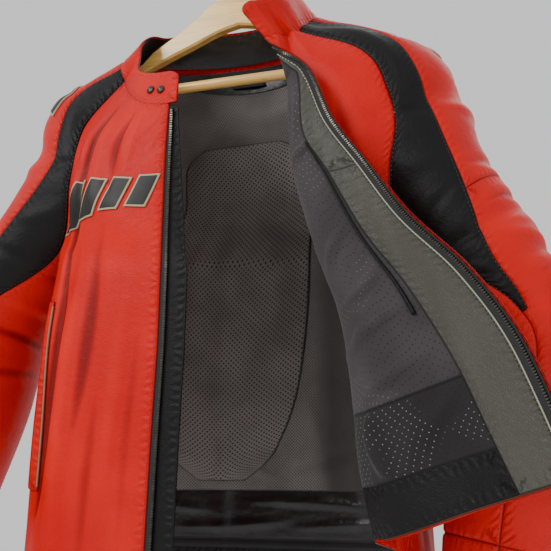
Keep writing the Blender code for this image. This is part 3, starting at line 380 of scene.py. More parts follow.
def body_seam(arm, side, low, end, v):
    """Outer edge of a body panel: the armhole down to the underarm, then the side seam."""
    v = np.asarray(v, float)
    s = np.clip(v, 0, UNDERARM)
    armhole = ring(arm, side, s, seam_angle(arm, s, end))
    foot = ring(arm, side, UNDERARM, seam_angle(arm, np.array(UNDERARM), end))
    step = foot - low.point(np.array(UNDERARM))
    fade = 1 - ease((v - UNDERARM) / 0.2)
    seam = low.point(np.maximum(v, UNDERARM)) + step * fade[..., None]
    return np.where((v < UNDERARM)[..., None], armhole, seam)


def bowed(start, end, u, bulge, skew, dip, way):
    """Row from start to end that bows out sideways by bulge and sags by dip."""
    line = end - start
    across = unit(vector(line[..., 1], -line[..., 0], 0)) * way
    arc = 4 * u * (1 - u)
    return (start + line * u[..., None] + across * (bulge * arc * (1 + skew * (2 * u - 1)))[..., None]
            + vector(0, 0, dip * arc))


def front_right(u, v):
    """Right front: u 0 at the zip, 1 at the armhole and the side seam."""
    u, v = np.broadcast_arrays(np.asarray(u, float), np.asarray(v, float))
    bulge, skew, dip = ZIP_RIGHT.read(v, "bulge", "skew", "dip")
    end = body_seam(SLEEVE_RIGHT, -1, SIDE_FRONT_RIGHT, "front", v)
    row = bowed(ZIP_RIGHT.point(v), end, u, bulge, skew, dip, -1)
    return row + vector(0, fold_depth(FRONT_FOLDS, u, v), 0)


def back_panel(u, v):
    """Back: u 0 at the wearer's right, 1 at the left."""
    u, v = np.broadcast_arrays(np.asarray(u, float), np.asarray(v, float))
    bulge, skew, dip = BACK.read(v, "bulge", "skew", "dip")
    start = body_seam(SLEEVE_RIGHT, -1, SIDE_BACK_RIGHT, "back", v)
    end = body_seam(SLEEVE_LEFT, 1, SIDE_BACK_LEFT, "back", v)
    row = bowed(start, end, u, bulge, skew, dip, -1)
    return row - vector(0, fold_depth(BACK_FOLDS, u, v), 0)


def side_panel(arm, side, front, back, u, v):
    """Panel under the arm: u 0 at its front seam, 1 at its back seam. Its top closes the armhole."""
    u, v = np.broadcast_arrays(np.asarray(u, float), np.asarray(v, float))

    def plain(height):
        bulge, = SIDES.read(height, "bulge")
        start = body_seam(arm, side, front, "front", height)
        end = body_seam(arm, side, back, "back", height)
        return bowed(start, end, u, bulge, 0, 0, side)

    first = seam_angle(arm, np.array(UNDERARM), "front")
    last = 360 + seam_angle(arm, np.array(UNDERARM), "back")
    lift = ring(arm, side, UNDERARM, first + (last - first) * u) - plain(np.full(v.shape, UNDERARM))
    fade = 1 - ease((v - UNDERARM) / 0.12)
    return plain(v) + lift * fade[..., None]


def side_right(u, v):
    """The wearer's right side panel."""
    return side_panel(SLEEVE_RIGHT, -1, SIDE_FRONT_RIGHT, SIDE_BACK_RIGHT, u, v)


def side_left(u, v):
    """The wearer's left side panel."""
    return side_panel(SLEEVE_LEFT, 1, SIDE_FRONT_LEFT, SIDE_BACK_LEFT, u, v)


def capped(tangent, chord):
    """Tangent made no longer than its chord, so that a curve has no swelling beside a tight roll."""
    length = np.linalg.norm(tangent, axis=-1, keepdims=True)
    limit = np.linalg.norm(chord, axis=-1, keepdims=True)
    return tangent * np.minimum(1, limit / np.maximum(length, 1e-9))


def front_left(u, v):
    """Left front, folded open: u 0 at the zip, then round the roll to 1 at armhole and side seam."""
    u, v = np.broadcast_arrays(np.asarray(u, float), np.asarray(v, float))
    edge = FLAP.point(v, "ex", "ey", "ez")
    fold = FLAP.point(v, "fx", "fy", "fz")
    roll, sag = FLAP.read(v, "roll", "sag")
    end = body_seam(SLEEVE_LEFT, 1, SIDE_FRONT_LEFT, "front", v)
    round_off = roll[..., None]
    lift = vector(0, 0.9 * roll, 0)
    on_flap = fold + unit(edge - fold) * round_off - lift
    on_chest = fold + unit(end - fold) * round_off + lift
    flap_middle = (on_flap + edge) / 2 + vector(0, sag, 0)
    chest_middle = (on_chest + end) / 2 - vector(0, 0.006, 0)
    stops = np.stack([edge, flap_middle, on_flap, fold, on_chest, chest_middle, end])
    gap = np.diff(FLAP_KNOTS).reshape(-1, *[1] * u.ndim, 1)
    slope = slopes(gap, np.diff(stops, axis=0) / gap)
    result = np.zeros(stops.shape[1:])
    last = len(FLAP_KNOTS) - 2
    for i in range(last + 1):
        low = -np.inf if i == 0 else FLAP_KNOTS[i]
        high = np.inf if i == last else FLAP_KNOTS[i + 1]
        x = ((u - FLAP_KNOTS[i]) / (FLAP_KNOTS[i + 1] - FLAP_KNOTS[i]))[..., None]
        chord = stops[i + 1] - stops[i]
        leave = capped(slope[i] * gap[i], chord)
        arrive = capped(slope[i + 1] * gap[i], chord)
        piece = cubic(stops[i], stops[i + 1], leave, arrive, x)
        result = np.where(((u >= low) & (u < high))[..., None], piece, result)
    return result


def flap_reach(distance):
    """Column of the left front that stays the same distance in from its zip edge."""

    def column(v):
        edge = FLAP.point(v, "ex", "ey", "ez")
        fold = FLAP.point(v, "fx", "fy", "fz")
        end = body_seam(SLEEVE_LEFT, 1, SIDE_FRONT_LEFT, "front", v)
        flap = np.linalg.norm(fold - edge, axis=-1)
        chest = np.linalg.norm(end - fold, axis=-1)
        return np.where(distance < flap, FOLD * distance / flap,
                        FOLD + (1 - FOLD) * np.clip((distance - flap) / chest, 0, 0.95))

    return column


def facing_edge(v):
    """Inner edge of the left front's leather facing."""
    share, = FACING.read(v, "share")
    return np.maximum(FOLD * share, flap_reach(0.017)(v))


def part_way(start, end, share):
    """Column that lies between two others."""

    def column(v):
        first = start(v) if callable(start) else start
        last = end(v) if callable(end) else end
        return first + (last - first) * share

    return column


RED_EDGE = flap_reach(0.002)
TAPE_EDGE = flap_reach(0.0128)
BEFORE_FOLD = 0.55
FACING_COLUMNS = [part_way(TAPE_EDGE, facing_edge, share) for share in (0, 0.33, 0.67, 1)]
LINING_COLUMNS = [part_way(facing_edge, BEFORE_FOLD, share) for share in (0, 0.34, 0.67, 1)]
PAST_FOLD = (FOLD, 0.61, 0.64, 0.72, 0.82, 0.91, 1)
FLAP_COLUMNS = [0, RED_EDGE, *FACING_COLUMNS[:-1], *LINING_COLUMNS, *PAST_FOLD]


def sleeve_part(arm, side, first, last):
    """Surface of a sleeve between two angles given as functions of s: u across, v along."""

    def surface(u, v):
        u, v = np.broadcast_arrays(np.asarray(u, float), np.asarray(v, float))
        start, end = first(arm, v), last(arm, v)
        return ring(arm, side, v, start + (end - start) * u)

    return surface


def at_front(arm, s):
    """The sleeve's front seam, as an angle."""
    return seam_angle(arm, s, "front")


def at_cut(arm, s):
    """Edge of the soft strip. Past its tip it lies on the front seam."""
    cut, front = arm.read(s, "cut", "front")
    return np.where(s > STRIP_END + 0.001, front, np.minimum(cut, front - 2.0))


def at_back(arm, s):
    """The sleeve's back seam, as an angle."""
    return seam_angle(arm, s, "back")


def at_back_from_below(arm, s):
    """The back seam, counted on from the front one under the arm."""
    return 360 + seam_angle(arm, s, "back")


def full_turn(arm, s):
    """The front seam again, once round."""
    return at_front(arm, s) - 360


# The collar leans along these lines from the neck seam: w 0 at its right end, 1 at its left
COLLAR_LEAN = Table("""
w     x      y      z
0.00 -0.06   0.30   0.95
0.10 -0.12   0.40   0.91
0.22  0.30   0.48   0.82
0.34  0.62   0.10   0.78
0.46  0.05  -0.22   0.97
0.60 -0.10  -0.20   0.97
0.70 -0.80   0.05   0.60
0.80 -0.55  -0.10   0.80
0.90 -0.40  -0.40   0.80
1.00 -0.54  -0.49   0.68
""")


# Fine grids: stations beside a border, and the largest step between the others
BORDER_STATIONS = np.array([0, 0.0008, 0.0021, 0.0036, 0.0060])
STITCH_STATION = 2
STEP = 0.0034
LATHE_SIDES = 32
# How far a stitch's middle stands over the leather, and how the leather dips into a seam and swells beside it
STITCH_LIFT = 0.0001
SEAM_DIP = 0.0011
SEAM_DIP_WIDTH = 0.0017
SEAM_PUFF = 0.0006
SEAM_PUFF_PLACE = 0.0060

# Creases: from u1 v1 to u2 v2, bowed sideways, a ridge where rise is over nothing and a trough below it
CREASES = {
    "front_right": Table("""
crease u1   v1   u2   v2    bow    width  rise
1      0.72 0.05 0.78 0.46  0.004  0.0070 -0.0058
2      0.78 0.42 0.84 0.90 -0.004  0.0085 -0.0060
3      0.62 0.05 0.64 0.34 -0.003  0.0090  0.0022
4      0.42 0.03 0.45 0.26  0.003  0.0060 -0.0026
5      0.30 0.02 0.34 0.22  0.000  0.0100  0.0020
6      0.60 0.45 0.66 0.95  0.006  0.0120  0.0030
7      0.45 0.36 0.50 0.72 -0.004  0.0100 -0.0030
8      0.20 0.44 0.26 0.80  0.003  0.0090  0.0018
9      0.12 0.55 0.15 0.98  0.003  0.0070 -0.0014
10     0.36 0.66 0.40 1.02  0.002  0.0080 -0.0020
11     0.93 0.18 0.80 0.30  0.003  0.0060 -0.0016
12     0.97 0.30 0.84 0.43 -0.002  0.0070 -0.0018
13     0.06 0.03 0.22 0.10  0.002  0.0040 -0.0010
14     0.05 0.08 0.24 0.16 -0.002  0.0045  0.0009
15     0.88 0.62 0.96 0.98  0.003  0.0080  0.0018
"""),
    "front_left": Table("""
crease u1   v1   u2   v2    bow    width  rise
1      0.66 0.14 0.70 0.50  0.004  0.0080 -0.0026
2      0.80 0.20 0.83 0.62 -0.004  0.0090 -0.0030
3      0.74 0.30 0.77 0.92  0.004  0.0100  0.0024
4      0.90 0.50 0.93 0.96  0.003  0.0080 -0.0024
5      0.69 0.62 0.72 0.98 -0.003  0.0080 -0.0018
6      0.28 0.35 0.40 0.40  0.002  0.0070  0.0012
7      0.30 0.56 0.42 0.66  0.003  0.0080 -0.0014
8      0.12 0.47 0.26 0.52  0.002  0.0060 -0.0010
"""),
    "back_panel": Table("""
crease u1   v1   u2   v2    bow    width  rise
1      0.16 0.10 0.13 0.60  0.005  0.0090 -0.0034
2      0.27 0.26 0.24 0.92 -0.004  0.0110  0.0030
3      0.40 0.34 0.42 0.98  0.005  0.0100 -0.0026
4      0.58 0.20 0.57 0.74 -0.005  0.0120  0.0026
5      0.72 0.12 0.75 0.66  0.004  0.0090 -0.0032
6      0.86 0.30 0.87 0.94 -0.003  0.0090  0.0026
7      0.30 0.03 0.70 0.035 -0.004 0.0070  0.0012
8      0.06 0.44 0.26 0.52  0.003  0.0070 -0.0020
9      0.95 0.42 0.78 0.50 -0.003  0.0070 -0.0020
10     0.10 0.72 0.34 0.76  0.004  0.0080 -0.0018
11     0.64 0.78 0.90 0.74  0.003  0.0080  0.0018
"""),
    "side_right": Table("""
crease u1   v1   u2   v2    bow    width  rise
1      0.20 0.50 0.26 0.94  0.004  0.0090 -0.0026
2      0.52 0.46 0.50 0.98 -0.004  0.0110  0.0026
3      0.80 0.54 0.78 0.90  0.003  0.0080 -0.0022
4      0.10 0.48 0.60 0.52  0.004  0.0060 -0.0014
"""),
    "side_left": Table("""
crease u1   v1   u2   v2    bow    width  rise
1      0.24 0.52 0.22 0.96 -0.004  0.0090 -0.0024
2      0.56 0.48 0.52 0.94  0.004  0.0110  0.0026
3      0.82 0.56 0.80 0.96 -0.003  0.0080 -0.0022
"""),
    "strip": Table("""
crease u1   v1   u2   v2    bow    width  rise
1      0.10 0.26 0.92 0.30  0.003  0.0060 -0.0020
2      0.06 0.33 0.90 0.37 -0.003  0.0065  0.0018
3      0.15 0.44 0.95 0.42  0.002  0.0055 -0.0020
4      0.10 0.50 0.90 0.52  0.003  0.0060 -0.0022
5      0.12 0.56 0.92 0.58 -0.002  0.0060  0.0016
6      0.45 0.04 0.50 0.20  0.003  0.0080  0.0014
"""),
    "upper": Table("""
crease u1   v1   u2   v2    bow    width  rise
1      0.08 0.14 0.55 0.20  0.004  0.0080 -0.0020
2      0.30 0.24 0.90 0.28 -0.004  0.0090 -0.0026
3      0.10 0.30 0.62 0.33  0.003  0.0080  0.0024
4      0.40 0.37 0.95 0.40  0.004  0.0070 -0.0026
5      0.05 0.40 0.45 0.42 -0.002  0.0060 -0.0020
6      0.60 0.16 0.85 0.22  0.003  0.0080  0.0018
"""),
    "lower": Table("""
crease u1   v1   u2   v2    bow    width  rise
1      0.06 0.48 0.50 0.50  0.003  0.0060 -0.0026
2      0.40 0.53 0.95 0.52  0.003  0.0070 -0.0024
3      0.04 0.54 0.44 0.58 -0.002  0.0060  0.0020
4      0.10 0.62 0.60 0.60  0.003  0.0065 -0.0024
5      0.45 0.66 0.96 0.69 -0.004  0.0080  0.0026
6      0.05 0.70 0.52 0.73  0.003  0.0070 -0.0022
7      0.40 0.78 0.92 0.76  0.003  0.0080 -0.0022
8      0.08 0.83 0.50 0.86 -0.003  0.0070  0.0018
9      0.30 0.88 0.80 0.90  0.002  0.0060 -0.0014
"""),
    "under": Table("""
crease u1   v1   u2   v2    bow    width  rise
1      0.10 0.45 0.85 0.47  0.003  0.0070 -0.0026
2      0.15 0.52 0.90 0.51 -0.003  0.0070  0.0024
3      0.08 0.57 0.88 0.59  0.003  0.0065 -0.0028
4      0.20 0.65 0.92 0.63  0.003  0.0075 -0.0022
5      0.10 0.72 0.80 0.75 -0.003  0.0080  0.0022
6      0.25 0.82 0.90 0.80  0.003  0.0075 -0.0020
"""),
    "none": Table("""
crease u1   v1   u2   v2    bow    width  rise
1      0.50 0.50 0.60 0.60  0.000  0.0100  0.0000
"""),
}
# Creases of the linings, which stand off the leather: a rise is towards the wearer
LINING_CREASES = {
    "lining_left_upper": Table("""
crease u1   v1   u2   v2    bow    width  rise
1      0.34 0.30 0.55 0.36  0.003  0.0065  0.0050
2      0.40 0.50 0.54 0.56  0.003  0.0065  0.0056
3      0.36 0.60 0.52 0.64 -0.003  0.0065  0.0060
4      0.34 0.68 0.54 0.72  0.003  0.0075  0.0056
5      0.48 0.18 0.53 0.50  0.003  0.0070  0.0028
6      0.30 0.77 0.50 0.80  0.004  0.0075  0.0050
"""),
    "lining_left_lower": Table("""
crease u1   v1   u2   v2    bow    width  rise
1      0.49 0.82 0.45 0.93  0.002  0.0060  0.0110
2      0.24 0.84 0.34 0.90  0.003  0.0075  0.0050
3      0.36 0.83 0.40 0.91 -0.002  0.0070  0.0052
"""),
    "facing_left_upper": Table("""
crease u1   v1   u2   v2    bow    width  rise
1      0.12 0.26 0.34 0.33  0.002  0.0050  0.0008
2      0.10 0.37 0.30 0.385 0.001  0.0035  0.0010
3      0.14 0.35 0.32 0.365 0.001  0.0030  0.0009
"""),
    "facing_left_lower": Table("""
crease u1   v1   u2   v2    bow    width  rise
1      0.06 0.415 0.30 0.425 0.001 0.0040  0.0011
2      0.08 0.44 0.28 0.445 -0.001 0.0035  0.0009
3      0.10 0.46 0.24 0.60  0.003  0.0080  0.0010
4      0.12 0.62 0.20 0.92  0.003  0.0080  0.0010
"""),
    "lining_back": Table("""
crease u1   v1   u2   v2    bow    width  rise
1      0.10 0.12 0.16 0.70  0.004  0.0110  0.0034
2      0.24 0.30 0.20 0.80 -0.004  0.0100  0.0030
3      0.80 0.10 0.84 0.60  0.004  0.0110  0.0034
4      0.66 0.62 0.74 0.81  0.003  0.0090  0.0050
5      0.40 0.76 0.60 0.80  0.003  0.0070  0.0034
6      0.60 0.10 0.72 0.16  0.002  0.0070  0.0022
"""),
    "waist_band_back": Table("""
crease u1   v1   u2   v2    bow    width  rise
1      0.08 0.84 0.40 0.86  0.003  0.0060  0.0030
2      0.30 0.89 0.62 0.875 -0.003 0.0060  0.0034
3      0.52 0.84 0.88 0.85  0.003  0.0055  0.0030
4      0.66 0.89 0.95 0.88  0.002  0.0050  0.0028
"""),
    "none": CREASES["none"],
}


def crease_rise(table, u, v, across, down):
    """Sum of the creases at u, v.

    Each is a soft bell across its own line, with a shallow counter-swell on both
    sides. It grows from its ends to its middle and its line is bowed.
    """
    total = np.zeros(np.broadcast(u, v).shape)
    for _, u1, v1, u2, v2, bow, width, rise in table.rows:
        step_x, step_y = (u2 - u1) * across, (v2 - v1) * down
        length = math.hypot(step_x, step_y)
        x, y = (u - u1) * across, (v - v1) * down
        along = (x * step_x + y * step_y) / length
        t = np.clip(along / length, 0, 1)
        off = (x * step_y - y * step_x) / length - bow * 4 * t * (1 - t)
        past = np.maximum(np.maximum(-along, along - length), 0)
        wide = width * (0.6 + 0.4 * np.sin(math.pi * t))
        bell = np.exp(-(off / wide) ** 2) - 0.28 * np.exp(-((abs(off) - 2 * wide) / wide) ** 2)
        total += rise * bell * np.sin(math.pi * (0.1 + 0.8 * t)) * np.exp(-(past / width) ** 2)
    return total


class Panel:
    """A cut piece's surface with its creases: the plain point moved along its normal."""

    def __init__(self, surface, side, creases, low=0.0, high=1.0):
        self.surface = surface
        self.side = side
        self.creases = creases
        self.low, self.high = low, high
        grid = surface(np.linspace(0, 1, 40)[None, :], np.linspace(low, high, 40)[:, None])
        self.across = np.linalg.norm(np.diff(grid, axis=1), axis=-1).sum(1).mean()
        self.down = np.linalg.norm(np.diff(grid, axis=0), axis=-1).sum(0).mean() / (high - low)

    def at(self, u, v, depth=0.0):
        """Point and normal at u, v, moved inwards by depth."""
        u, v = np.broadcast_arrays(np.asarray(u, float), np.asarray(v, float))
        step_u, step_v = 0.0004 / self.across, 0.0004 / self.down
        along_u = self.surface(u + step_u, v) - self.surface(u - step_u, v)
        up, down = np.maximum(v - step_v, self.low), np.minimum(v + step_v, self.high)
        along_v = self.surface(u, down) - self.surface(u, up)
        normal = unit(np.cross(along_u, along_v)) * self.side
        rise = crease_rise(self.creases, u, v, self.across, self.down)
        return self.surface(u, v) + normal * (rise - depth)[..., None], normal


def share_at(column, v):
    """A column that is a number or a function of v, at v."""
    return column(v) if callable(column) else np.full(np.shape(v), float(column))


def stations(points, axis, step):
    """Shares of the way along a grid, even by mean length and closer beside both ends."""
    pieces = np.linalg.norm(np.diff(points, axis=axis), axis=-1).mean(1 - axis)
    length = np.concatenate([[0], np.cumsum(pieces)])
    border = BORDER_STATIONS * min(1, length[-1] / 0.03)
    count = max(int(math.ceil((length[-1] - 2 * border[-1]) / step)), 2)
    middle = np.linspace(border[-1], length[-1] - border[-1], count + 1)
    places = np.concatenate([border[:-1], middle, (length[-1] - border[:-1])[::-1]])
    return np.interp(places, length, np.linspace(0, 1, len(length)))


def fine_grid(panel, left, right, low, high, step=STEP):
    """u and v of a fine grid between two columns and two rows of a panel."""
    share = np.linspace(0, 1, 120)
    v = low + (high - low) * share
    first, last = share_at(left, v)[:, None], share_at(right, v)[:, None]
    points = panel.surface(first + (last - first) * share, v[:, None] + 0 * share)
    down, across = stations(points, 0, step), stations(points, 1, step)
    v = low + (high - low) * down
    first, last = share_at(left, v)[:, None], share_at(right, v)[:, None]
    u = first + (last - first) * across
    return u, np.broadcast_to(v[:, None], u.shape)


def lengths(points, axis):
    """Length along each row or column of a grid, from its start to each point."""
    pieces = np.linalg.norm(np.diff(points, axis=axis), axis=-1)
    start = np.zeros_like(pieces.take([0], axis))
    return np.concatenate([start, np.cumsum(pieces, axis)], axis)


def seam_distance(points):
    """Distance of each point of a grid from the nearest of its four borders."""
    across, down = lengths(points, 1), lengths(points, 0)
    sides = np.minimum(across, across[:, -1:] - across)
    ends = np.minimum(down, down[-1:] - down)
    return sides, ends


def seam_profile(distance):
    """The leather dips into its seam and swells a little beside it."""
    x = distance / SEAM_PUFF_PLACE
    return SEAM_PUFF * x * np.exp(1 - x) - SEAM_DIP * np.exp(-(distance / SEAM_DIP_WIDTH) ** 2)


def grid_quads(rows, columns, closed=False):
    """Vertex numbers of each cell of a grid, all turned the same way."""
    i = np.arange(rows - 1)[:, None]
    j = np.arange(columns if closed else columns - 1)[None, :]
    k = (j + 1) % columns
    cells = np.stack(np.broadcast_arrays(i * columns + j, i * columns + k, (i + 1) * columns + k,
                                         (i + 1) * columns + j), -1)
    return cells.reshape(-1, 4)


def rim_of(rows, columns):
    """Vertex numbers round a grid, in order."""
    top = np.arange(columns)
    right = np.arange(1, rows) * columns + columns - 1
    bottom = (rows - 1) * columns + np.arange(columns - 2, -1, -1)
    left = np.arange(rows - 2, 0, -1) * columns
    return np.concatenate([top, right, bottom, left])


def add_piece(name, vertices, faces, look, flat=None, values=None, sharp=55):
    """Object from arrays: vertices, faces, a UV map in metres and named values per vertex."""
    mesh = bpy.data.meshes.new(name)
    mesh.from_pydata(vertices.tolist(), [], [list(map(int, face)) for face in faces])
    if flat is not None:
        loops = np.empty(len(mesh.loops), int)
        mesh.loops.foreach_get("vertex_index", loops)
        layer = mesh.uv_layers.new(name="Flat")
        layer.uv.foreach_set("vector", flat[loops].astype(np.float32).ravel())
    for word, numbers in (values or {}).items():
        layer = mesh.attributes.new(word, "FLOAT", "POINT")
        layer.data.foreach_set("value", numbers.astype(np.float32))
    mesh.shade_smooth()
    mesh.set_sharp_from_angle(angle=math.radians(sharp))
    mesh.materials.append(bpy.data.materials[look])
    thing = bpy.data.objects.new(name, mesh)
    bpy.context.scene.collection.objects.link(thing)
    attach(thing, "root")
    return thing


def wall(name, near, far, look, side, replaced=None, relief=None):
    """A closed wall between two grids: near is its outer face, far its inner one."""
    rows, columns = near.shape[:2]
    if side < 0:
        near, far = near[:, ::-1], far[:, ::-1]
        relief = relief[:, ::-1] if relief is not None else None
    count = rows * columns
    cells = grid_quads(rows, columns)
    rim = rim_of(rows, columns)
    after = np.roll(rim, -1)
    joins = np.stack([after, rim, count + rim, count + after], -1)
    faces = np.concatenate([cells, count + cells[:, ::-1], joins])
    across, down = lengths(near, 1), lengths(near, 0)
    flat = np.stack([across - across[:, -1:] / 2, down], -1).reshape(-1, 2)
    sides, ends = seam_distance(near)
    edge = np.minimum(sides, ends)
    along = np.where(sides < ends, down, across)
    values = {"edge": edge, "along": along, "relief": relief if relief is not None else 0 * edge}
    values = {word: np.tile(numbers.ravel(), 2) for word, numbers in values.items()}
    points = np.concatenate([near.reshape(-1, 3), far.reshape(-1, 3)])
    thing = add_piece(name + "_fine", points, faces, look,
                      np.tile(flat, (2, 1)), values)
    if replaced:
        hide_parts(replaced)
    width, length = across[:, -1].max(), down[-1].max()
    cell = np.cross(near[1:, 1:] - near[:-1, :-1], near[1:, :-1] - near[:-1, 1:])
    area = np.linalg.norm(cell, axis=-1).sum() / 2
    SHEETS[name] = (thing, width, length, min(area, width * length))
    GRIDS[name] = near if side > 0 else near[:, ::-1]
    return thing


def leather(name, panel, low, high, look):
    """A cut piece of leather: its fine grid, the dip beside its seams and its wall."""
    u, v = fine_grid(panel, 0, 1, low, high)
    points, normal = panel.at(u, v)
    sides, ends = seam_distance(points)
    dip = seam_profile(np.minimum(sides, ends))
    rise = crease_rise(panel.creases, u, v, panel.across, panel.down)
    outer = points + normal * dip[..., None]
    wall(name, outer, outer - normal * LEATHER, look, panel.side, name, rise)
    NORMALS[name] = normal


def laid(name, panel, left, right, low, high, depth, thickness, look, step=STEP, own="none",
         crown=0.0, rise=None):
    """A piece laid on a panel: the panel's points moved inwards by depth, and out again by its crown."""
    u, v = fine_grid(panel, left, right, low, high, step)
    if rise:
        v = v + rise(u, v)
    points, normal = panel.at(u, v)
    sides, ends = seam_distance(points)
    edge = np.minimum(sides, ends)
    own_rise = crease_rise(LINING_CREASES[own], u, v, panel.across, panel.down)
    own_rise = np.maximum(own_rise, 0) * ease(edge / 0.008)
    swell = crown * np.sqrt(np.clip(1 - (1 - np.clip(edge / max(sides.max(), 1e-6), 0, 1)) ** 2, 0, 1))
    deep = depth + own_rise
    inside = depth > 0
    near = points - normal * (deep - (0 if inside else 1) * swell)[..., None]
    far = points - normal * (deep + thickness + (1 if inside else 0) * swell)[..., None]
    wall(name, near, far, look, panel.side, name, own_rise)
    NORMALS[name] = normal


def make_panels():
    """The panels' surfaces, shared by all operators."""
    sleeves = {"right": (SLEEVE_RIGHT, -1), "left": (SLEEVE_LEFT, 1)}
    PANELS.update({
        "front_right": Panel(front_right, 1, CREASES["front_right"]),
        "front_left": Panel(front_left, -1, CREASES["front_left"]),
        "back_panel": Panel(back_panel, 1, CREASES["back_panel"]),
        "side_right": Panel(side_right, 1, CREASES["side_right"], UNDERARM, 1),
        "side_left": Panel(side_left, -1, CREASES["side_left"], UNDERARM, 1),
    })
    for word, (arm, side) in sleeves.items():
        outer = sleeve_part(arm, side, at_cut, at_back)
        PANELS["shoulder_strip_" + word] = Panel(
            sleeve_part(arm, side, at_front, at_cut), -side, CREASES["strip"], 0, STRIP_END)
        PANELS["sleeve_upper_" + word] = Panel(outer, -side, CREASES["upper"], 0, ELBOW_SEAM)
        PANELS["sleeve_lower_" + word] = Panel(outer, -side, CREASES["lower"], ELBOW_SEAM, CUFF_START)
        PANELS["sleeve_under_" + word] = Panel(
            sleeve_part(arm, side, at_front, at_back_from_below), side, CREASES["under"], UNDERARM, CUFF_START)
        PANELS["cuff_" + word] = Panel(
            sleeve_part(arm, side, at_front, full_turn), -side, CREASES["none"], CUFF_START, 1)


# Settings of the nodes that the materials use most, and the colour output of a mix
SMOOTH = {"interpolation_type": "SMOOTHSTEP"}
TIMES = {"operation": "MULTIPLY"}
PLUS = {"operation": "ADD"}
CAPPED = {"operation": "ADD", "use_clamp": True}
COLOURS = {"data_type": "RGBA"}
MIXED = 2
CELLS = {"feature": "DISTANCE_TO_EDGE"}
PRESSED = {"invert": True}
# Softness of a punched hole's rim, and the wave texture's scale for bands a metre wide
HOLE_BLUR = 0.25
WAVE_SCALE = 0.35


def add_node(tree, kind, settings=None, inputs=None, out=0):
    """Adds a node, sets its properties, fills its inputs with values or links, and gives one output."""
    made = tree.nodes.new("ShaderNode" + kind)
    for word, value in (settings or {}).items():
        setattr(made, word, value)
    for word, value in (inputs or {}).items():
        if isinstance(value, bpy.types.NodeSocket):
            tree.links.new(value, made.inputs[word])
        else:
            made.inputs[word].default_value = value
    return made.outputs[out] if made.outputs else None


def new_material(name):
    """An empty material's tree, and the place in metres that its patterns are drawn at."""
    made = bpy.data.materials.new(name)
    made.use_nodes = True
    made.node_tree.nodes.clear()
    return made.node_tree, add_node(made.node_tree, "TexCoord", out="Object")


def finish_material(tree, inputs):
    """Ends a tree with its one surface shader."""
    shader = add_node(tree, "BsdfPrincipled", None, inputs, "BSDF")
    add_node(tree, "OutputMaterial", None, {"Surface": shader})


def rgba(colour, times=1.0):
    """A colour for a socket, made lighter or darker."""
    return (*(times * c for c in colour), 1.0)


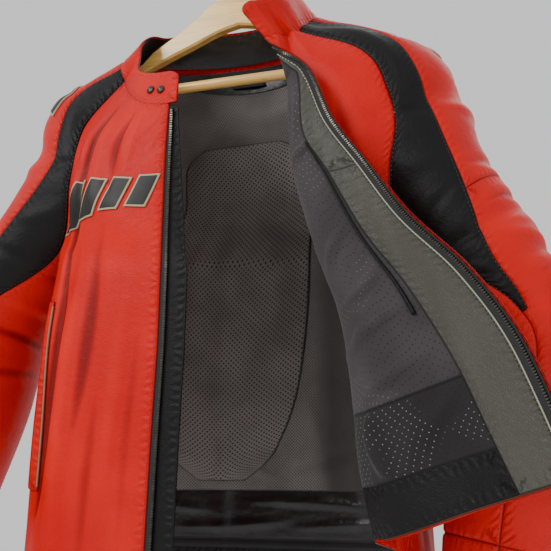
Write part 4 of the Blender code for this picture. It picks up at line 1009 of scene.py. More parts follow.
def cowhide(name, base, deep, worn_and_lit, roughness, wash=0.5, grain=0.00022):
    """Drum-dyed, top-finished cowhide: fine grain cells, soft wrinkles, paler worn clouds and patches,
    a painted highlight on the crease ridges, painted shade in the crease hollows and beside each seam,
    and small puckers drawn up by the thread beside each seam."""
    tree, where = new_material(name)
    edge, along, relief = (add_node(tree, "Attribute", {"attribute_name": word}, None, "Fac")
                           for word in ("edge", "along", "relief"))
    # Noises are as wide as the hide's clouds, worn patches, wrinkles, sheen and puckers, in metres
    clouds, patches, wrinkles, sheen, wander = (
        add_node(tree, "TexNoise", None,
                 {"Vector": where, "Scale": 1 / size, "Detail": detail, "Roughness": rough})
        for size, detail, rough in ((0.11, 2, 0.5), (0.030, 4, 0.6), (0.0075, 4, 0.62),
                                    (0.02, 3, 0.5), (0.014, 2, 0.5)))
    clouds = add_node(tree, "MapRange", SMOOTH, {0: clouds, 1: 0.40, 2: 0.68})
    patches = add_node(tree, "MapRange", SMOOTH, {0: patches, 1: 0.42, 2: 0.75})
    # Painted highlight: the ridges of the creases lean towards the paler worn colour
    ridge = add_node(tree, "MapRange", SMOOTH, {0: relief, 1: 0.0002, 2: 0.0028})
    clouds = add_node(tree, "Math", TIMES, {0: clouds, 1: 0.55})
    ridge = add_node(tree, "Math", TIMES, {0: ridge, 1: 0.45})
    worn = add_node(tree, "Math", CAPPED, {0: clouds, 1: ridge})
    worn = add_node(tree, "Math", TIMES, {0: worn, 1: wash})
    patches = add_node(tree, "Math", TIMES, {0: patches, 1: 0.12})
    worn = add_node(tree, "Math", CAPPED, {0: worn, 1: patches})
    colour = add_node(tree, "Mix", COLOURS, {0: worn, 6: rgba(base), 7: rgba(worn_and_lit)}, MIXED)
    # Painted shade: the hollows of the creases darken towards the deep colour
    hollow = add_node(tree, "MapRange", SMOOTH, {0: relief, 1: -0.0003, 2: -0.0032, 4: 0.75})
    # Painted shade: darker within 1.4 mm of each border, in the seam's dip
    seam_shade = add_node(tree, "MapRange", SMOOTH, {0: edge, 1: 0.0014, 2: 0.0, 4: 0.85})
    for share in (hollow, seam_shade):
        colour = add_node(tree, "Mix", COLOURS, {0: share, 6: colour, 7: rgba(deep)}, MIXED)
    # Grain cells of a hide are under 1 mm. They are drawn 2.2 mm wide so that a render shows them.
    cells = add_node(tree, "TexVoronoi", CELLS, {"Vector": where, "Scale": 1 / 0.0022}, "Distance")
    cells = add_node(tree, "MapRange", SMOOTH, {0: cells, 1: 0.0, 2: 0.22})
    bump = add_node(tree, "Bump", None, {"Strength": 0.55, "Distance": grain, "Height": cells})
    bump = add_node(tree, "Bump", None,
                    {"Strength": 0.5, "Distance": 0.0016, "Height": wrinkles, "Normal": bump})
    # Puckers stand 8.5 mm apart along a seam, from 1 to 13 mm beside it
    phase = add_node(tree, "Math", TIMES, {0: along, 1: 2 * math.pi / 0.0085})
    wander = add_node(tree, "Math", TIMES, {0: wander, 1: 9.0})
    phase = add_node(tree, "Math", PLUS, {0: phase, 1: wander})
    wave = add_node(tree, "Math", {"operation": "SINE"}, {0: phase})
    past = add_node(tree, "MapRange", SMOOTH, {0: edge, 1: 0.0010, 2: 0.0030})
    before = add_node(tree, "MapRange", SMOOTH, {0: edge, 1: 0.0130, 2: 0.0040})
    beside = add_node(tree, "Math", TIMES, {0: past, 1: before})
    pull = add_node(tree, "Math", TIMES, {0: wave, 1: beside})
    bump = add_node(tree, "Bump", None, {"Strength": 0.6, "Distance": 0.0007, "Height": pull, "Normal": bump})
    sheen = add_node(tree, "Math", TIMES, {0: sheen, 1: 0.16})
    gloss = add_node(tree, "Math", PLUS, {0: sheen, 1: roughness - 0.08})
    finish_material(tree, {"Base Color": colour, "Roughness": gloss, "Normal": bump,
                           "Specular IOR Level": 0.18})


def perforated(name, base, deep, glint, pitch, radius, roughness, lit=0.0, dark_side=None):
    """Warp-knitted polyester with punched round holes: matt and slightly fuzzy. Its holes are painted
    dark as the shade inside them, and pale in noise patches as painted glints. Past dark_side, in
    metres along X, the lining is darker."""
    tree, where = new_material(name)
    # Staggered round holes: a square lattice of points turned by 45 degrees
    flat = add_node(tree, "UVMap", {"uv_map": "Flat"})
    turned = add_node(tree, "Mapping", None,
                      {"Vector": flat, "Rotation": (0, 0, math.pi / 4), "Scale": (1 / pitch,) * 3})
    lattice = add_node(tree, "TexVoronoi", {"voronoi_dimensions": "2D"},
                       {"Vector": turned, "Scale": 1.0, "Randomness": 0.0}, "Distance")
    holes = add_node(tree, "MapRange", SMOOTH,
                     {0: lattice, 1: radius / pitch * (1 + HOLE_BLUR), 2: radius / pitch * (1 - HOLE_BLUR)})
    mottle, painted_glints, thread = (
        add_node(tree, "TexNoise", None,
                 {"Vector": where, "Scale": 1 / size, "Detail": detail, "Roughness": 0.5})
        for size, detail in ((0.05, 3), (0.060, 1), (0.0009, 2)))
    mottle = add_node(tree, "MapRange", SMOOTH, {0: mottle, 1: 0.35, 2: 0.70})
    colour = add_node(tree, "Mix", COLOURS, {0: mottle, 6: rgba(base), 7: rgba(base, 0.72)}, MIXED)
    # Past dark_side along X the lining darkens
    if dark_side is not None:
        across = add_node(tree, "SeparateXYZ", None, {"Vector": where}, "X")
        shade = add_node(tree, "MapRange", SMOOTH, {0: across, 1: dark_side, 2: dark_side + 0.030, 4: 0.8})
        colour = add_node(tree, "Mix", COLOURS, {0: shade, 6: colour, 7: rgba(base, 0.12)}, MIXED)
    # Painted glints: in noise patches the holes turn pale, as if lit from behind
    painted_glints = add_node(tree, "MapRange", SMOOTH, {0: painted_glints, 1: 0.54, 2: 0.60})
    painted_glints = add_node(tree, "Math", TIMES, {0: painted_glints, 1: lit})
    inside = add_node(tree, "Mix", COLOURS, {0: painted_glints, 6: rgba(deep), 7: rgba(glint)}, MIXED)
    colour = add_node(tree, "Mix", COLOURS, {0: holes, 6: colour, 7: inside}, MIXED)
    # Painted shade: the lining darkens within 2.4 mm of each border, as in a seam's groove
    edge = add_node(tree, "Attribute", {"attribute_name": "edge"}, None, "Fac")
    seam = add_node(tree, "MapRange", SMOOTH, {0: edge, 1: 0.0024, 2: 0.0002, 4: 0.9})
    colour = add_node(tree, "Mix", COLOURS, {0: seam, 6: colour, 7: rgba(grey(base, 0.12))}, MIXED)
    bump = add_node(tree, "Bump", None, {"Strength": 0.5, "Distance": 0.00025, "Height": thread})
    bump = add_node(tree, "Bump", PRESSED,
                    {"Strength": 0.8, "Distance": 0.0006, "Height": holes, "Normal": bump})
    finish_material(tree, {"Base Color": colour, "Roughness": roughness, "Normal": bump,
                           "Sheen Weight": 0.08, "Sheen Roughness": 0.5, "Specular IOR Level": 0.25})


def satin(name, base, light, roughness):
    """Warp-faced satin: smooth floats along the cloth, with soft streaks of painted sheen in its colour."""
    tree, where = new_material(name)
    streaks = add_node(tree, "Mapping", None, {"Vector": where, "Scale": (30, 30, 110)})
    # Painted sheen: stretched noise streaks mix towards the paler colour
    cloud = add_node(tree, "TexNoise", None, {"Vector": streaks, "Scale": 1.0, "Detail": 4.0})
    cloud = add_node(tree, "MapRange", SMOOTH, {0: cloud, 1: 0.35, 2: 0.72})
    colour = add_node(tree, "Mix", COLOURS, {0: cloud, 6: rgba(base), 7: rgba(light)}, MIXED)
    ribs = add_node(tree, "TexNoise", None, {"Vector": where, "Scale": 1 / 0.006, "Detail": 5.0})
    bump = add_node(tree, "Bump", None, {"Strength": 0.5, "Distance": 0.0012, "Height": ribs})
    finish_material(tree, {"Base Color": colour, "Roughness": roughness, "Normal": bump, "Sheen Weight": 0.06,
                           "Sheen Roughness": 0.35, "Anisotropic": 0.3, "Specular IOR Level": 0.35})


def woven(name, base, light, pitch, roughness):
    """Herringbone-woven polyester tape, ribs about a thread wide along the tape."""
    tree = new_material(name)[0]
    flat = add_node(tree, "UVMap", {"uv_map": "Flat"})
    ribs = add_node(tree, "TexWave", {"bands_direction": "DIAGONAL"},
                    {"Vector": flat, "Scale": WAVE_SCALE / pitch, "Distortion": 0.6})
    colour = add_node(tree, "Mix", COLOURS, {0: ribs, 6: rgba(base), 7: rgba(light)}, MIXED)
    bump = add_node(tree, "Bump", None, {"Strength": 0.6, "Distance": 0.0003, "Height": ribs})
    finish_material(tree, {"Base Color": colour, "Roughness": roughness, "Normal": bump})


def edged_leather(name, base, rim, width, roughness):
    """Cut leather patch whose border is turned and stitched in a paler strip."""
    tree, where = new_material(name)
    edge = add_node(tree, "Attribute", {"attribute_name": "edge"}, None, "Fac")
    border = add_node(tree, "MapRange", SMOOTH, {0: edge, 1: width * 1.15, 2: width * 0.85})
    worn = add_node(tree, "TexNoise", None,
                    {"Vector": where, "Scale": 1 / 0.012, "Detail": 4.0, "Roughness": 0.65})
    worn = add_node(tree, "MapRange", SMOOTH, {0: worn, 1: 0.42, 2: 0.72})
    face = add_node(tree, "Mix", COLOURS, {0: worn, 6: rgba(base), 7: rgba(base, 1.5)}, MIXED)
    colour = add_node(tree, "Mix", COLOURS, {0: border, 6: face, 7: rgba(rim)}, MIXED)
    cells = add_node(tree, "TexVoronoi", CELLS, {"Vector": where, "Scale": 1 / 0.0020}, "Distance")
    bump = add_node(tree, "Bump", None, {"Strength": 0.5, "Distance": 0.0002, "Height": cells})
    bump = add_node(tree, "Bump", PRESSED,
                    {"Strength": 0.7, "Distance": 0.0005, "Height": border, "Normal": bump})
    finish_material(tree, {"Base Color": colour, "Roughness": roughness, "Normal": bump,
                           "Specular IOR Level": 0.25})


def metal(name, base, dark, roughness):
    """Plated zinc or drawn wire: bright, with faint handling marks in its roughness."""
    tree, where = new_material(name)
    marks = add_node(tree, "TexNoise", None,
                     {"Vector": where, "Scale": 1 / 0.004, "Detail": 4.0, "Roughness": 0.6})
    dull = add_node(tree, "MapRange", SMOOTH, {0: marks, 1: 0.35, 2: 0.7})
    colour = add_node(tree, "Mix", COLOURS, {0: dull, 6: rgba(base), 7: rgba(dark)}, MIXED)
    marks = add_node(tree, "Math", TIMES, {0: marks, 1: 0.25})
    gloss = add_node(tree, "Math", PLUS, {0: marks, 1: roughness - 0.1})
    finish_material(tree, {"Base Color": colour, "Roughness": gloss, "Metallic": 1.0})


def lacquered_wood(name, base, dark):
    """Sanded and lacquered lotus wood: straight pale grain along the hanger, darker pores."""
    tree, where = new_material(name)
    stretched = add_node(tree, "Mapping", None, {"Vector": where, "Scale": (9, 160, 160)})
    grain = add_node(tree, "TexNoise", None,
                     {"Vector": stretched, "Scale": 1.0, "Detail": 6.0, "Roughness": 0.62})
    pores = add_node(tree, "Mapping", None, {"Vector": where, "Scale": (60, 900, 900)})
    specks = add_node(tree, "TexNoise", None, {"Vector": pores, "Scale": 1.0, "Detail": 2.0})
    streaks = add_node(tree, "MapRange", SMOOTH, {0: grain, 1: 0.38, 2: 0.70})
    colour = add_node(tree, "Mix", COLOURS, {0: streaks, 6: rgba(base), 7: rgba(dark)}, MIXED)
    specks = add_node(tree, "MapRange", SMOOTH, {0: specks, 1: 0.62, 2: 0.74, 4: 0.5})
    colour = add_node(tree, "Mix", COLOURS, {0: specks, 6: colour, 7: rgba(dark, 0.6)}, MIXED)
    bump = add_node(tree, "Bump", None, {"Strength": 0.25, "Distance": 0.0003, "Height": grain})
    finish_material(tree, {"Base Color": colour, "Roughness": 0.34, "Normal": bump,
                           "Coat Weight": 0.35, "Coat Roughness": 0.15})


def thread(name, base, light):
    """Bonded polyester sewing thread: two plies that catch the light in turn, drawn as painted highlight bands.
    """
    tree, where = new_material(name)
    plies = add_node(tree, "TexWave", {"bands_direction": "DIAGONAL"},
                     {"Vector": where, "Scale": WAVE_SCALE / 0.0008, "Distortion": 1.0})
    colour = add_node(tree, "Mix", COLOURS, {0: plies, 6: rgba(base), 7: rgba(light)}, MIXED)
    finish_material(tree, {"Base Color": colour, "Roughness": 0.55})


def stitch_mesh(paths, length, pitch, radius):
    """Stitches along paths of points and normals: five-sided capsules, one every pitch."""
    vertices, faces, count = [], [], 0
    turn = np.arange(5) * 2 * math.pi / 5
    ring = np.stack([0 * turn, np.cos(turn), np.sin(turn)], -1)
    for points, normals in paths:
        place_along = lengths(points[None], 1)[0]
        number = int(place_along[-1] / pitch)
        if number < 1:
            continue
        middle = (np.arange(number) + 0.5) * place_along[-1] / number
        ends = np.stack([middle - length / 2, middle + length / 2], -1)
        at = np.stack([np.interp(ends, place_along, points[:, i]) for i in range(3)], -1)
        normal = unit(np.stack([np.interp(middle, place_along, normals[:, i]) for i in range(3)], -1))
        tangent = unit(at[:, 1] - at[:, 0])
        side = unit(np.cross(normal, tangent))
        centre = at.mean(1) + normal * STITCH_LIFT
        half = np.linalg.norm(at[:, 1] - at[:, 0], axis=-1)[:, None, None] / 2
        axes = np.stack([tangent, side, normal], 1)
        shape = np.concatenate([[[-1, 0, 0]], ring * radius + [-0.55, 0, 0],
                                ring * radius + [0.55, 0, 0], [[1, 0, 0]]])
        local = np.repeat(shape[None], number, 0)
        local[..., 0] *= half[..., 0]
        local[:, 0, 2] -= radius
        local[:, -1, 2] -= radius
        vertices.append((centre[:, None] + local @ axes).reshape(-1, 3))
        j = np.arange(5)
        k = (j + 1) % 5
        caps = [np.stack([0 * j, 1 + k, 1 + j], -1), np.stack([0 * j + 11, 6 + j, 6 + k], -1)]
        body = np.stack([1 + j, 1 + k, 6 + k, 6 + j], -1)
        start = count + 12 * np.arange(number)[:, None, None]
        for part in (*caps, body):
            faces += (part[None] + start).reshape(-1, part.shape[1]).tolist()
        count += 12 * number
    return np.concatenate(vertices), faces


def stitches(name, paths, look, length=0.0031, pitch=0.0042, radius=0.00045):
    """One joined mesh of all the stitches of a seam."""
    vertices, faces = stitch_mesh(paths, length, pitch, radius)
    thing = add_piece(name, vertices, faces, look)
    return thing


def border_paths(name, words):
    """Lines of a piece's own grid, a stitch's way in from the named borders."""
    grid, normal = GRIDS[name], NORMALS[name]
    lines = {
        "left": (slice(None), STITCH_STATION), "right": (slice(None), -1 - STITCH_STATION),
        "top": (STITCH_STATION, slice(None)), "bottom": (-1 - STITCH_STATION, slice(None)),
    }
    for word in words.split():
        line = lines[word]
        yield grid[line][STITCH_STATION:-STITCH_STATION], normal[line][STITCH_STATION:-STITCH_STATION]


def teeth(name, path, normals, across, size, pitch, look):
    """Zip teeth: small blocks with narrowed heads, one every pitch along a path."""
    along = lengths(path[None], 1)[0]
    number = int(along[-1] / pitch)
    middle = (np.arange(number) + 0.5) * pitch

    def read(values):
        return np.stack([np.interp(middle, along, values[:, i]) for i in range(3)], -1)

    centre, normal, out = read(path), unit(read(normals)), unit(read(across))
    tangent = unit(np.cross(normal, out))
    wide, long, thick = size
    profile = np.array([(-0.5, -0.5), (0.20, -0.5), (0.5, -0.25), (0.5, 0.25), (0.20, 0.5), (-0.5, 0.5)])
    shape = np.concatenate([
        np.column_stack([profile[:, 0] * wide, profile[:, 1] * long, np.full(6, level * thick)])
        for level in (-0.5, 0.5)])
    vertices = (centre[:, None] + shape[None] @ np.stack([out, tangent, normal], 1)).reshape(-1, 3)
    j = np.arange(6)
    k = (j + 1) % 6
    walls = np.stack([j, k, 6 + k, 6 + j], -1)
    start = 12 * np.arange(number)
    faces = (walls[None] + start[:, None, None]).reshape(-1, 4).tolist()
    faces += (np.arange(6, 12)[None] + start[:, None]).tolist()
    faces += (np.arange(5, -1, -1)[None] + start[:, None]).tolist()
    thing = add_piece(name, vertices, faces, look, sharp=30)
    fix_normals(thing)
    return thing


def fix_normals(thing):
    """Turns all faces of closed shells outwards."""
    shape = bmesh.new()
    shape.from_mesh(thing.data)
    bmesh.ops.recalc_face_normals(shape, faces=shape.faces)
    shape.to_mesh(thing.data)
    shape.free()


def add_round(name, points, look, replaced, sharp):
    """A closed round piece through rings of points, with flat ends."""
    rows, sides = points.shape[:2]
    faces = grid_quads(rows, sides, True).tolist()
    faces += [list(range(sides))[::-1], list(range((rows - 1) * sides, rows * sides))]
    thing = add_piece(name, points.reshape(-1, 3), faces, look, sharp=sharp)
    fix_normals(thing)
    if replaced:
        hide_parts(replaced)


def tube(name, path, radius, look, sides=10, replaced=None):
    """A round cord along a path: rings square to it, with domed ends."""
    tangent = unit(np.gradient(path, axis=0))
    reference = np.where(abs(tangent[:, 1:2]) < 0.9, [[0, 1, 0]], [[1, 0, 0]])
    side = unit(np.cross(tangent, reference))
    up = np.cross(side, tangent)
    reach = np.concatenate([[-1, -0.75], np.zeros(len(path)), [0.75, 1]])
    girth = np.concatenate([[0.02, 0.66], np.ones(len(path)), [0.66, 0.02]])
    index = np.clip(np.arange(len(reach)) - 2, 0, len(path) - 1)
    turn = np.arange(sides) * 2 * math.pi / sides
    circle = (side[index][:, None] * np.cos(turn)[None, :, None]
              + up[index][:, None] * np.sin(turn)[None, :, None])
    points = path[index][:, None] + tangent[index][:, None] * reach[:, None, None] * radius
    points = points + circle * (girth * radius)[:, None, None]
    add_round(name, points, look, replaced, 55)


def lathe(name, centre, axis, profile, look, replaced):
    """A turned shape: a profile of radius and height carried round an axis."""
    axis = unit(np.asarray(axis, float))
    side = unit(np.cross(axis, [0, 0, 1.0]))
    up = np.cross(side, axis)
    turn = np.arange(LATHE_SIDES) * 2 * math.pi / LATHE_SIDES
    circle = side * np.cos(turn)[:, None] + up * np.sin(turn)[:, None]
    profile = np.asarray(profile, float)
    points = centre + circle[None] * profile[:, 0, None, None] + axis * profile[:, 1, None, None]
    add_round(name, points, look, replaced, 40)


COLLAR_FINE = 6


def finer(columns):
    """Columns of the collar, each gap parted into COLLAR_FINE."""
    columns = np.asarray(columns, float)
    gaps = len(columns) - 1
    return np.interp(np.linspace(0, gaps, gaps * COLLAR_FINE + 1), np.arange(gaps + 1), columns)


def fine_neckline():
    """The neck seam from the right tab round the back to the left zip."""
    zero = np.array(0.0)
    strip = finer((0, 0.25, 0.5, 0.75, 1))
    outer = finer((0, 0.1, 0.2, 0.3, 0.42, 0.55, 0.7, 0.85, 1))
    front = finer((-0.09, -0.06, -0.03, 0, 0.03, 0.08, 0.16, 0.26, 0.36, 0.46, 0.55, 0.64, 0.73, 0.82, 0.91, 1))
    back = finer((0, 0.03, *(i / 12 for i in range(1, 12)), 0.97, 1))
    flap = np.array([share_at(column, np.zeros(1))[0] for column in FLAP_COLUMNS])
    runs = [
        front_right(front[:-1], zero),
        sleeve_part(SLEEVE_RIGHT, -1, at_front, at_cut)(strip[:-1], zero),
        sleeve_part(SLEEVE_RIGHT, -1, at_cut, at_back)(outer[:-1], zero),
        back_panel(back[:-1], zero),
        sleeve_part(SLEEVE_LEFT, 1, at_cut, at_back)(outer[:0:-1], zero),
        sleeve_part(SLEEVE_LEFT, 1, at_front, at_cut)(strip[:0:-1], zero),
        front_left(finer(flap)[::-1], zero),
    ]
    return np.concatenate(runs)


def collar_surface(levels):
    """Collar rows at shares of its height: the neck seam, evened towards the top, leaned by a table."""
    foot = fine_neckline()
    length = lengths(foot[None], 1)[0]
    spread = np.exp(-((length[:, None] - length[None, :]) / 0.018) ** 2)
    weight = spread * np.gradient(length)[None, :]
    even = (weight @ foot) / weight.sum(1, keepdims=True)
    edge = np.minimum(length, length[-1] - length)[:, None]
    even = foot + (even - foot) * ease(edge / 0.03)
    lean = unit(COLLAR_LEAN.point(length / length[-1]))
    corner = np.clip(1 - edge / COLLAR_CORNER, 0, 1)
    height = COLLAR_HEIGHT - COLLAR_CORNER * (1 - np.sqrt(1 - corner ** 2))
    rows = [foot + (even - foot) * ease(level) + lean * (SEAM + (height - SEAM) * level) for level in levels]
    return np.stack(rows), length


def grid_normals(points):
    """Normals of a grid of points: at each the mean of the cells round it."""
    cell = unit(np.cross(points[1:, 1:] - points[:-1, :-1], points[1:, :-1] - points[:-1, 1:]))
    total = np.zeros_like(points)
    total[:-1, :-1] += cell
    total[1:, :-1] += cell
    total[:-1, 1:] += cell
    total[1:, 1:] += cell
    return unit(total)


SHEETS, GRIDS, NORMALS, PANELS = {}, {}, {}, {}


def hex_colour(label, code, note):
    """A colour setting of the panel, from its sRGB hex value."""
    return FloatVectorProperty(name=label, description=note, subtype="COLOR", size=3, min=0, max=1,
                               default=linear(code))


class JACKET_PG_colours(bpy.types.PropertyGroup):
    """Colours of the leathers, linings, thread, metal and wood."""
    red: hex_colour("Red leather", "#b80400", "Body and sleeves")
    # The hollows colour is painted shade in creases and seams; the worn colour is also a painted highlight on
    # ridges
    red_painted_shade: hex_colour("Red, hollows", "#570100", "Red leather in its folds and seams")
    red_worn_and_lit: hex_colour("Red, worn", "#e21e12", "Red leather where it is rubbed")
    black: hex_colour("Black leather", "#0c0b0c", "Shoulder strips and hem facings")
    facing: hex_colour("Facing leather", "#45433d", "Inside of the front edges")
    mesh: hex_colour("Mesh lining", "#3a3537", "Perforated lining of the left front")
    back_mesh: hex_colour("Back lining", "#74706d", "Fine mesh over the back")
    satin: hex_colour("Satin", "#141213", "Collar lining and waist band")
    pad: hex_colour("Protector cover", "#6e6966", "Perforated cover of the back protector")
    patch: hex_colour("Patch leather", "#1c1b19", "Bars on the chest and patches on the sleeves")
    cream: hex_colour("Cream edge", "#a39478", "Border of the bars and pocket piping")
    tape: hex_colour("Zip tape", "#111011", "Woven tape of the zips")
    metal: hex_colour("Gunmetal", "#5a564f", "Teeth, slider and snaps")
    wood: hex_colour("Wood", "#efbe66", "Hanger and its bar")
    wire: hex_colour("Hook wire", "#c9c9c9", "Hook of the hanger")


class JACKET_PG_sizes(bpy.types.PropertyGroup):
    """Sizes of the sewing and the zips."""
    stitch: FloatProperty(name="Stitch length", description="Length of one stitch", default=0.0031,
                          min=0.001, max=0.01, unit="LENGTH", precision=4)
    pitch: FloatProperty(name="Stitch pitch", description="Distance from stitch to stitch", default=0.0042,
                         min=0.0015, max=0.02, unit="LENGTH", precision=4)
    thread: FloatProperty(name="Thread radius", description="Half the thread's thickness", default=0.00045,
                          min=0.0001, max=0.002, unit="LENGTH", precision=5)
    tooth: FloatProperty(name="Tooth pitch", description="Distance from tooth to tooth", default=0.0025,
                         min=0.001, max=0.01, unit="LENGTH", precision=4)
    floor: FloatProperty(name="Floor size", description="Width of the floor below the jacket", default=3.0,
                         min=0.5, max=10, unit="LENGTH")


def grey(colour, times):
    """A colour made lighter or darker, at most white."""
    return tuple(min(1.0, times * c) for c in colour)


class JACKET_OT_materials(bpy.types.Operator):
    """Makes all materials."""
    bl_idname = "jacket.materials"
    bl_label = "Materials"

    def execute(self, context):
        c = context.scene.jacket_colours
        cowhide("red cowhide", c.red, c.red_painted_shade, c.red_worn_and_lit, 0.47, 0.6)
        cowhide("black cowhide", c.black, grey(c.black, 0.4), grey(c.black, 2.2), 0.50, 0.5)
        cowhide("facing cowhide", c.facing, grey(c.facing, 0.25), grey(c.facing, 1.35), 0.40, 0.6, 0.0003)
        perforated("perforated flap lining", c.mesh, grey(c.mesh, 0.10), linear("#8f8a86"),
                   0.0056, 0.00052, 0.85, 0.55)
        perforated("perforated hem lining", grey(c.mesh, 0.38), grey(c.mesh, 0.06), linear("#a5a09c"),
                   0.0056, 0.00052, 0.85, 0.6)
        # The side lining is a darker copy of the flap's mesh: painted shade deep inside the body
        perforated("side mesh lining in painted shade", grey(c.mesh, 0.45), grey(c.mesh, 0.06), linear("#5a5654"),
                   0.0026, 0.00075, 0.9)
        perforated("fine mesh lining", c.back_mesh, grey(c.back_mesh, 0.30), linear("#8a8683"),
                   0.0026, 0.00075, 0.85, dark_side=0.055)
        perforated("perforated pad cover", c.pad, grey(c.pad, 0.10), linear("#5a5654"), 0.0042, 0.0010, 0.80)
        satin("warp satin", c.satin, grey(c.satin, 2.6), 0.32)
        woven("woven zip tape", c.tape, grey(c.tape, 2.4), 0.0012, 0.75)
        edged_leather("edged patch leather", c.patch, c.cream, 0.0019, 0.5)
        metal("gunmetal zinc", c.metal, grey(c.metal, 0.45), 0.32)
        metal("drawn steel wire", c.wire, grey(c.wire, 0.7), 0.25)
        lacquered_wood("lacquered lotus wood", c.wood, grey(c.wood, 0.62))
        thread("red thread", grey(c.red, 0.55), grey(c.red_worn_and_lit, 0.9))
        thread("dark thread", linear("#141313"), linear("#3a3635"))
        thread("pale thread", linear("#6f705c"), linear("#a4a48c"))
        cowhide("raw leather edge", linear("#7a4a3c"), linear("#3a1a14"), linear("#a8705c"), 0.8, 0.8, 0.0002)
        cowhide("cream piping", c.cream, grey(c.cream, 0.5), grey(c.cream, 1.15), 0.5, 0.3, 0.0001)
        return {"FINISHED"}


class JACKET_OT_body(bpy.types.Operator):
    """Builds both fronts, the back and the side panels."""
    bl_idname = "jacket.body"
    bl_label = "Body leather"

    def execute(self, context):
        make_panels()
        for name in ("front_right", "front_left", "back_panel"):
            leather(name, PANELS[name], 0, 1, "red cowhide")
        for name in ("side_right", "side_left"):
            leather(name, PANELS[name], UNDERARM, 1, "red cowhide")
        return {"FINISHED"}


class JACKET_OT_sleeves(bpy.types.Operator):
    """Builds the strips, outer and under sleeves, cuffs and patches of both arms."""
    bl_idname = "jacket.sleeves"
    bl_label = "Sleeves"

    def execute(self, context):
        for word, first, last in (("right", 0.11, 0.35), ("left", 0.30, 0.56)):
            for piece, low, high, look, slot in (
                    ("shoulder_strip_", 0, STRIP_END, "black cowhide", "black_leather"),
                    ("sleeve_upper_", 0, ELBOW_SEAM, "red cowhide", "red_leather"),
                    ("sleeve_lower_", ELBOW_SEAM, CUFF_START, "red cowhide", "red_leather"),
                    ("sleeve_under_", UNDERARM, CUFF_START, "red cowhide", "red_leather"),
                    ("cuff_", CUFF_START, 1, "red cowhide", "red_leather")):
                leather(piece + word, PANELS[piece + word], low, high, look)
            laid("sleeve_patch_" + word, PANELS["sleeve_upper_" + word], first, last, 0.13, 0.20,
                 -LAYER_GAP - APPLIQUE, APPLIQUE, "edged patch leather", 0.002, crown=0.0008)
        return {"FINISHED"}


class JACKET_OT_collar(bpy.types.Operator):
    """Builds the stand-up collar, its lining and two snaps."""
    bl_idname = "jacket.collar"
    bl_label = "Collar"

    def execute(self, context):
        levels = np.concatenate([[-0.05, 0.0, 0.05, 0.12], np.linspace(0.2, 0.8, 7), [0.88, 0.94, 0.98, 1.0]])
        outer, length = collar_surface(levels)
        inwards = grid_normals(outer)
        ends = np.minimum(length, length[-1] - length)[None, :]
        top = (1 - levels)[:, None] * COLLAR_HEIGHT
        edge = np.minimum(ends, top)
        dip = seam_profile(edge + 0.0010)
        outer = outer - inwards * dip[..., None]
        wall("collar", outer, outer + inwards * LEATHER, "red cowhide", -1, "collar", dip)
        NORMALS["collar"] = -inwards
        start, end = 3 * COLLAR_FINE, 10 * COLLAR_FINE
        near = (outer + inwards * LINING_DEPTH)[1:-2, start:-end]
        far = (outer + inwards * (LINING_DEPTH + LINING))[1:-2, start:-end]
        wall("collar_lining", near, far, "warp satin", -1, "collar_lining", None)
        level = 6
        profile = [(0.0005, -0.0006), (0.0042, -0.0006), (0.0046, 0.0002), (0.0044, 0.0012), (0.0038, 0.0019),
                   (0.0032, 0.0021), (0.0029, 0.0017), (0.0024, 0.0016), (0.0018, 0.0021), (0.0010, 0.0024),
                   (0.0002, 0.0025)]
        for number, distance in enumerate(SNAP_PLACES, 1):
            column = int(np.argmin(abs(length - distance)))
            lathe("collar_snap_%d_turned" % number, outer[level, column] - inwards[level, column] * SNAP_GAP,
                  -inwards[level, column], profile, "gunmetal zinc", "collar_snap_%d" % number)
        lines = []
        for row in (-4, 3):
            lines.append((outer[row, 6:-6], -inwards[row, 6:-6]))
        stitches("collar_stitching", lines, "red thread")
        return {"FINISHED"}


class JACKET_OT_right_front(bpy.types.Operator):
    """Builds the zip side of the right front: tape, teeth, wind strip, welt, bars and pocket piping."""
    bl_idname = "jacket.right_front"
    bl_label = "Right front trim"

    def execute(self, context):
        panel = PANELS["front_right"]
        sizes = context.scene.jacket_sizes
        laid("zip_tape_right", panel, -0.036, 0.045, 0.014, 0.992, LINING_DEPTH, ZIP_TAPE,
             "woven zip tape", 0.003)

        def strip_edge(v):
            return WIND_STRIP_TOP + (WIND_STRIP_EDGE - WIND_STRIP_TOP) * ease(v / 0.35)

        laid("wind_strip_right", panel, strip_edge, 0.06, 0.014, 0.992, LINING_DEPTH + ZIP_TAPE + LAYER_GAP,
             WIND_STRIP, "black cowhide", 0.003, crown=0.0012)
        laid("pocket_welt_right", panel, 0.85, 0.965, 0.50, 0.86, -LAYER_GAP - LEATHER, LEATHER,
             "red cowhide", 0.002, crown=0.0012)
        for bar, u_mid, v_mid, width, height, slant, rise in CHEST_BARS.rows:

            def left(v, u_mid=u_mid, v_mid=v_mid, width=width, slant=slant):
                return u_mid - width / 2 - slant * (v - v_mid)

            def right(v, u_mid=u_mid, v_mid=v_mid, width=width, slant=slant):
                return u_mid + width / 2 - slant * (v - v_mid)

            def lifted(u, v, u_mid=u_mid, v_mid=v_mid, slant=slant, rise=rise):
                return rise * (u - u_mid + slant * (v - v_mid))

            laid("chest_bar_%d" % bar, panel, left, right, v_mid - height / 2, v_mid + height / 2,
                 -LAYER_GAP - APPLIQUE, APPLIQUE, "edged patch leather", 0.0016, crown=0.0006,
                 rise=lifted)
        v = np.linspace(0.02, 0.965, 300)
        path, normal = panel.at(np.full(v.shape, -0.0335), v, LINING_DEPTH - 0.0006)
        beside, _ = panel.at(np.full(v.shape, -0.0600), v, LINING_DEPTH - 0.0006)
        teeth("zip_teeth_right", path, normal, beside - path, (0.0028, 0.0014, 0.0024), sizes.tooth,
              "gunmetal zinc")
        v = np.linspace(0.51, 0.85, 60)
        path, normal = panel.at(np.full(v.shape, 0.853), v, -0.0018)
        tube("pocket_piping_right", path, 0.0011, "cream piping")
        return {"FINISHED"}


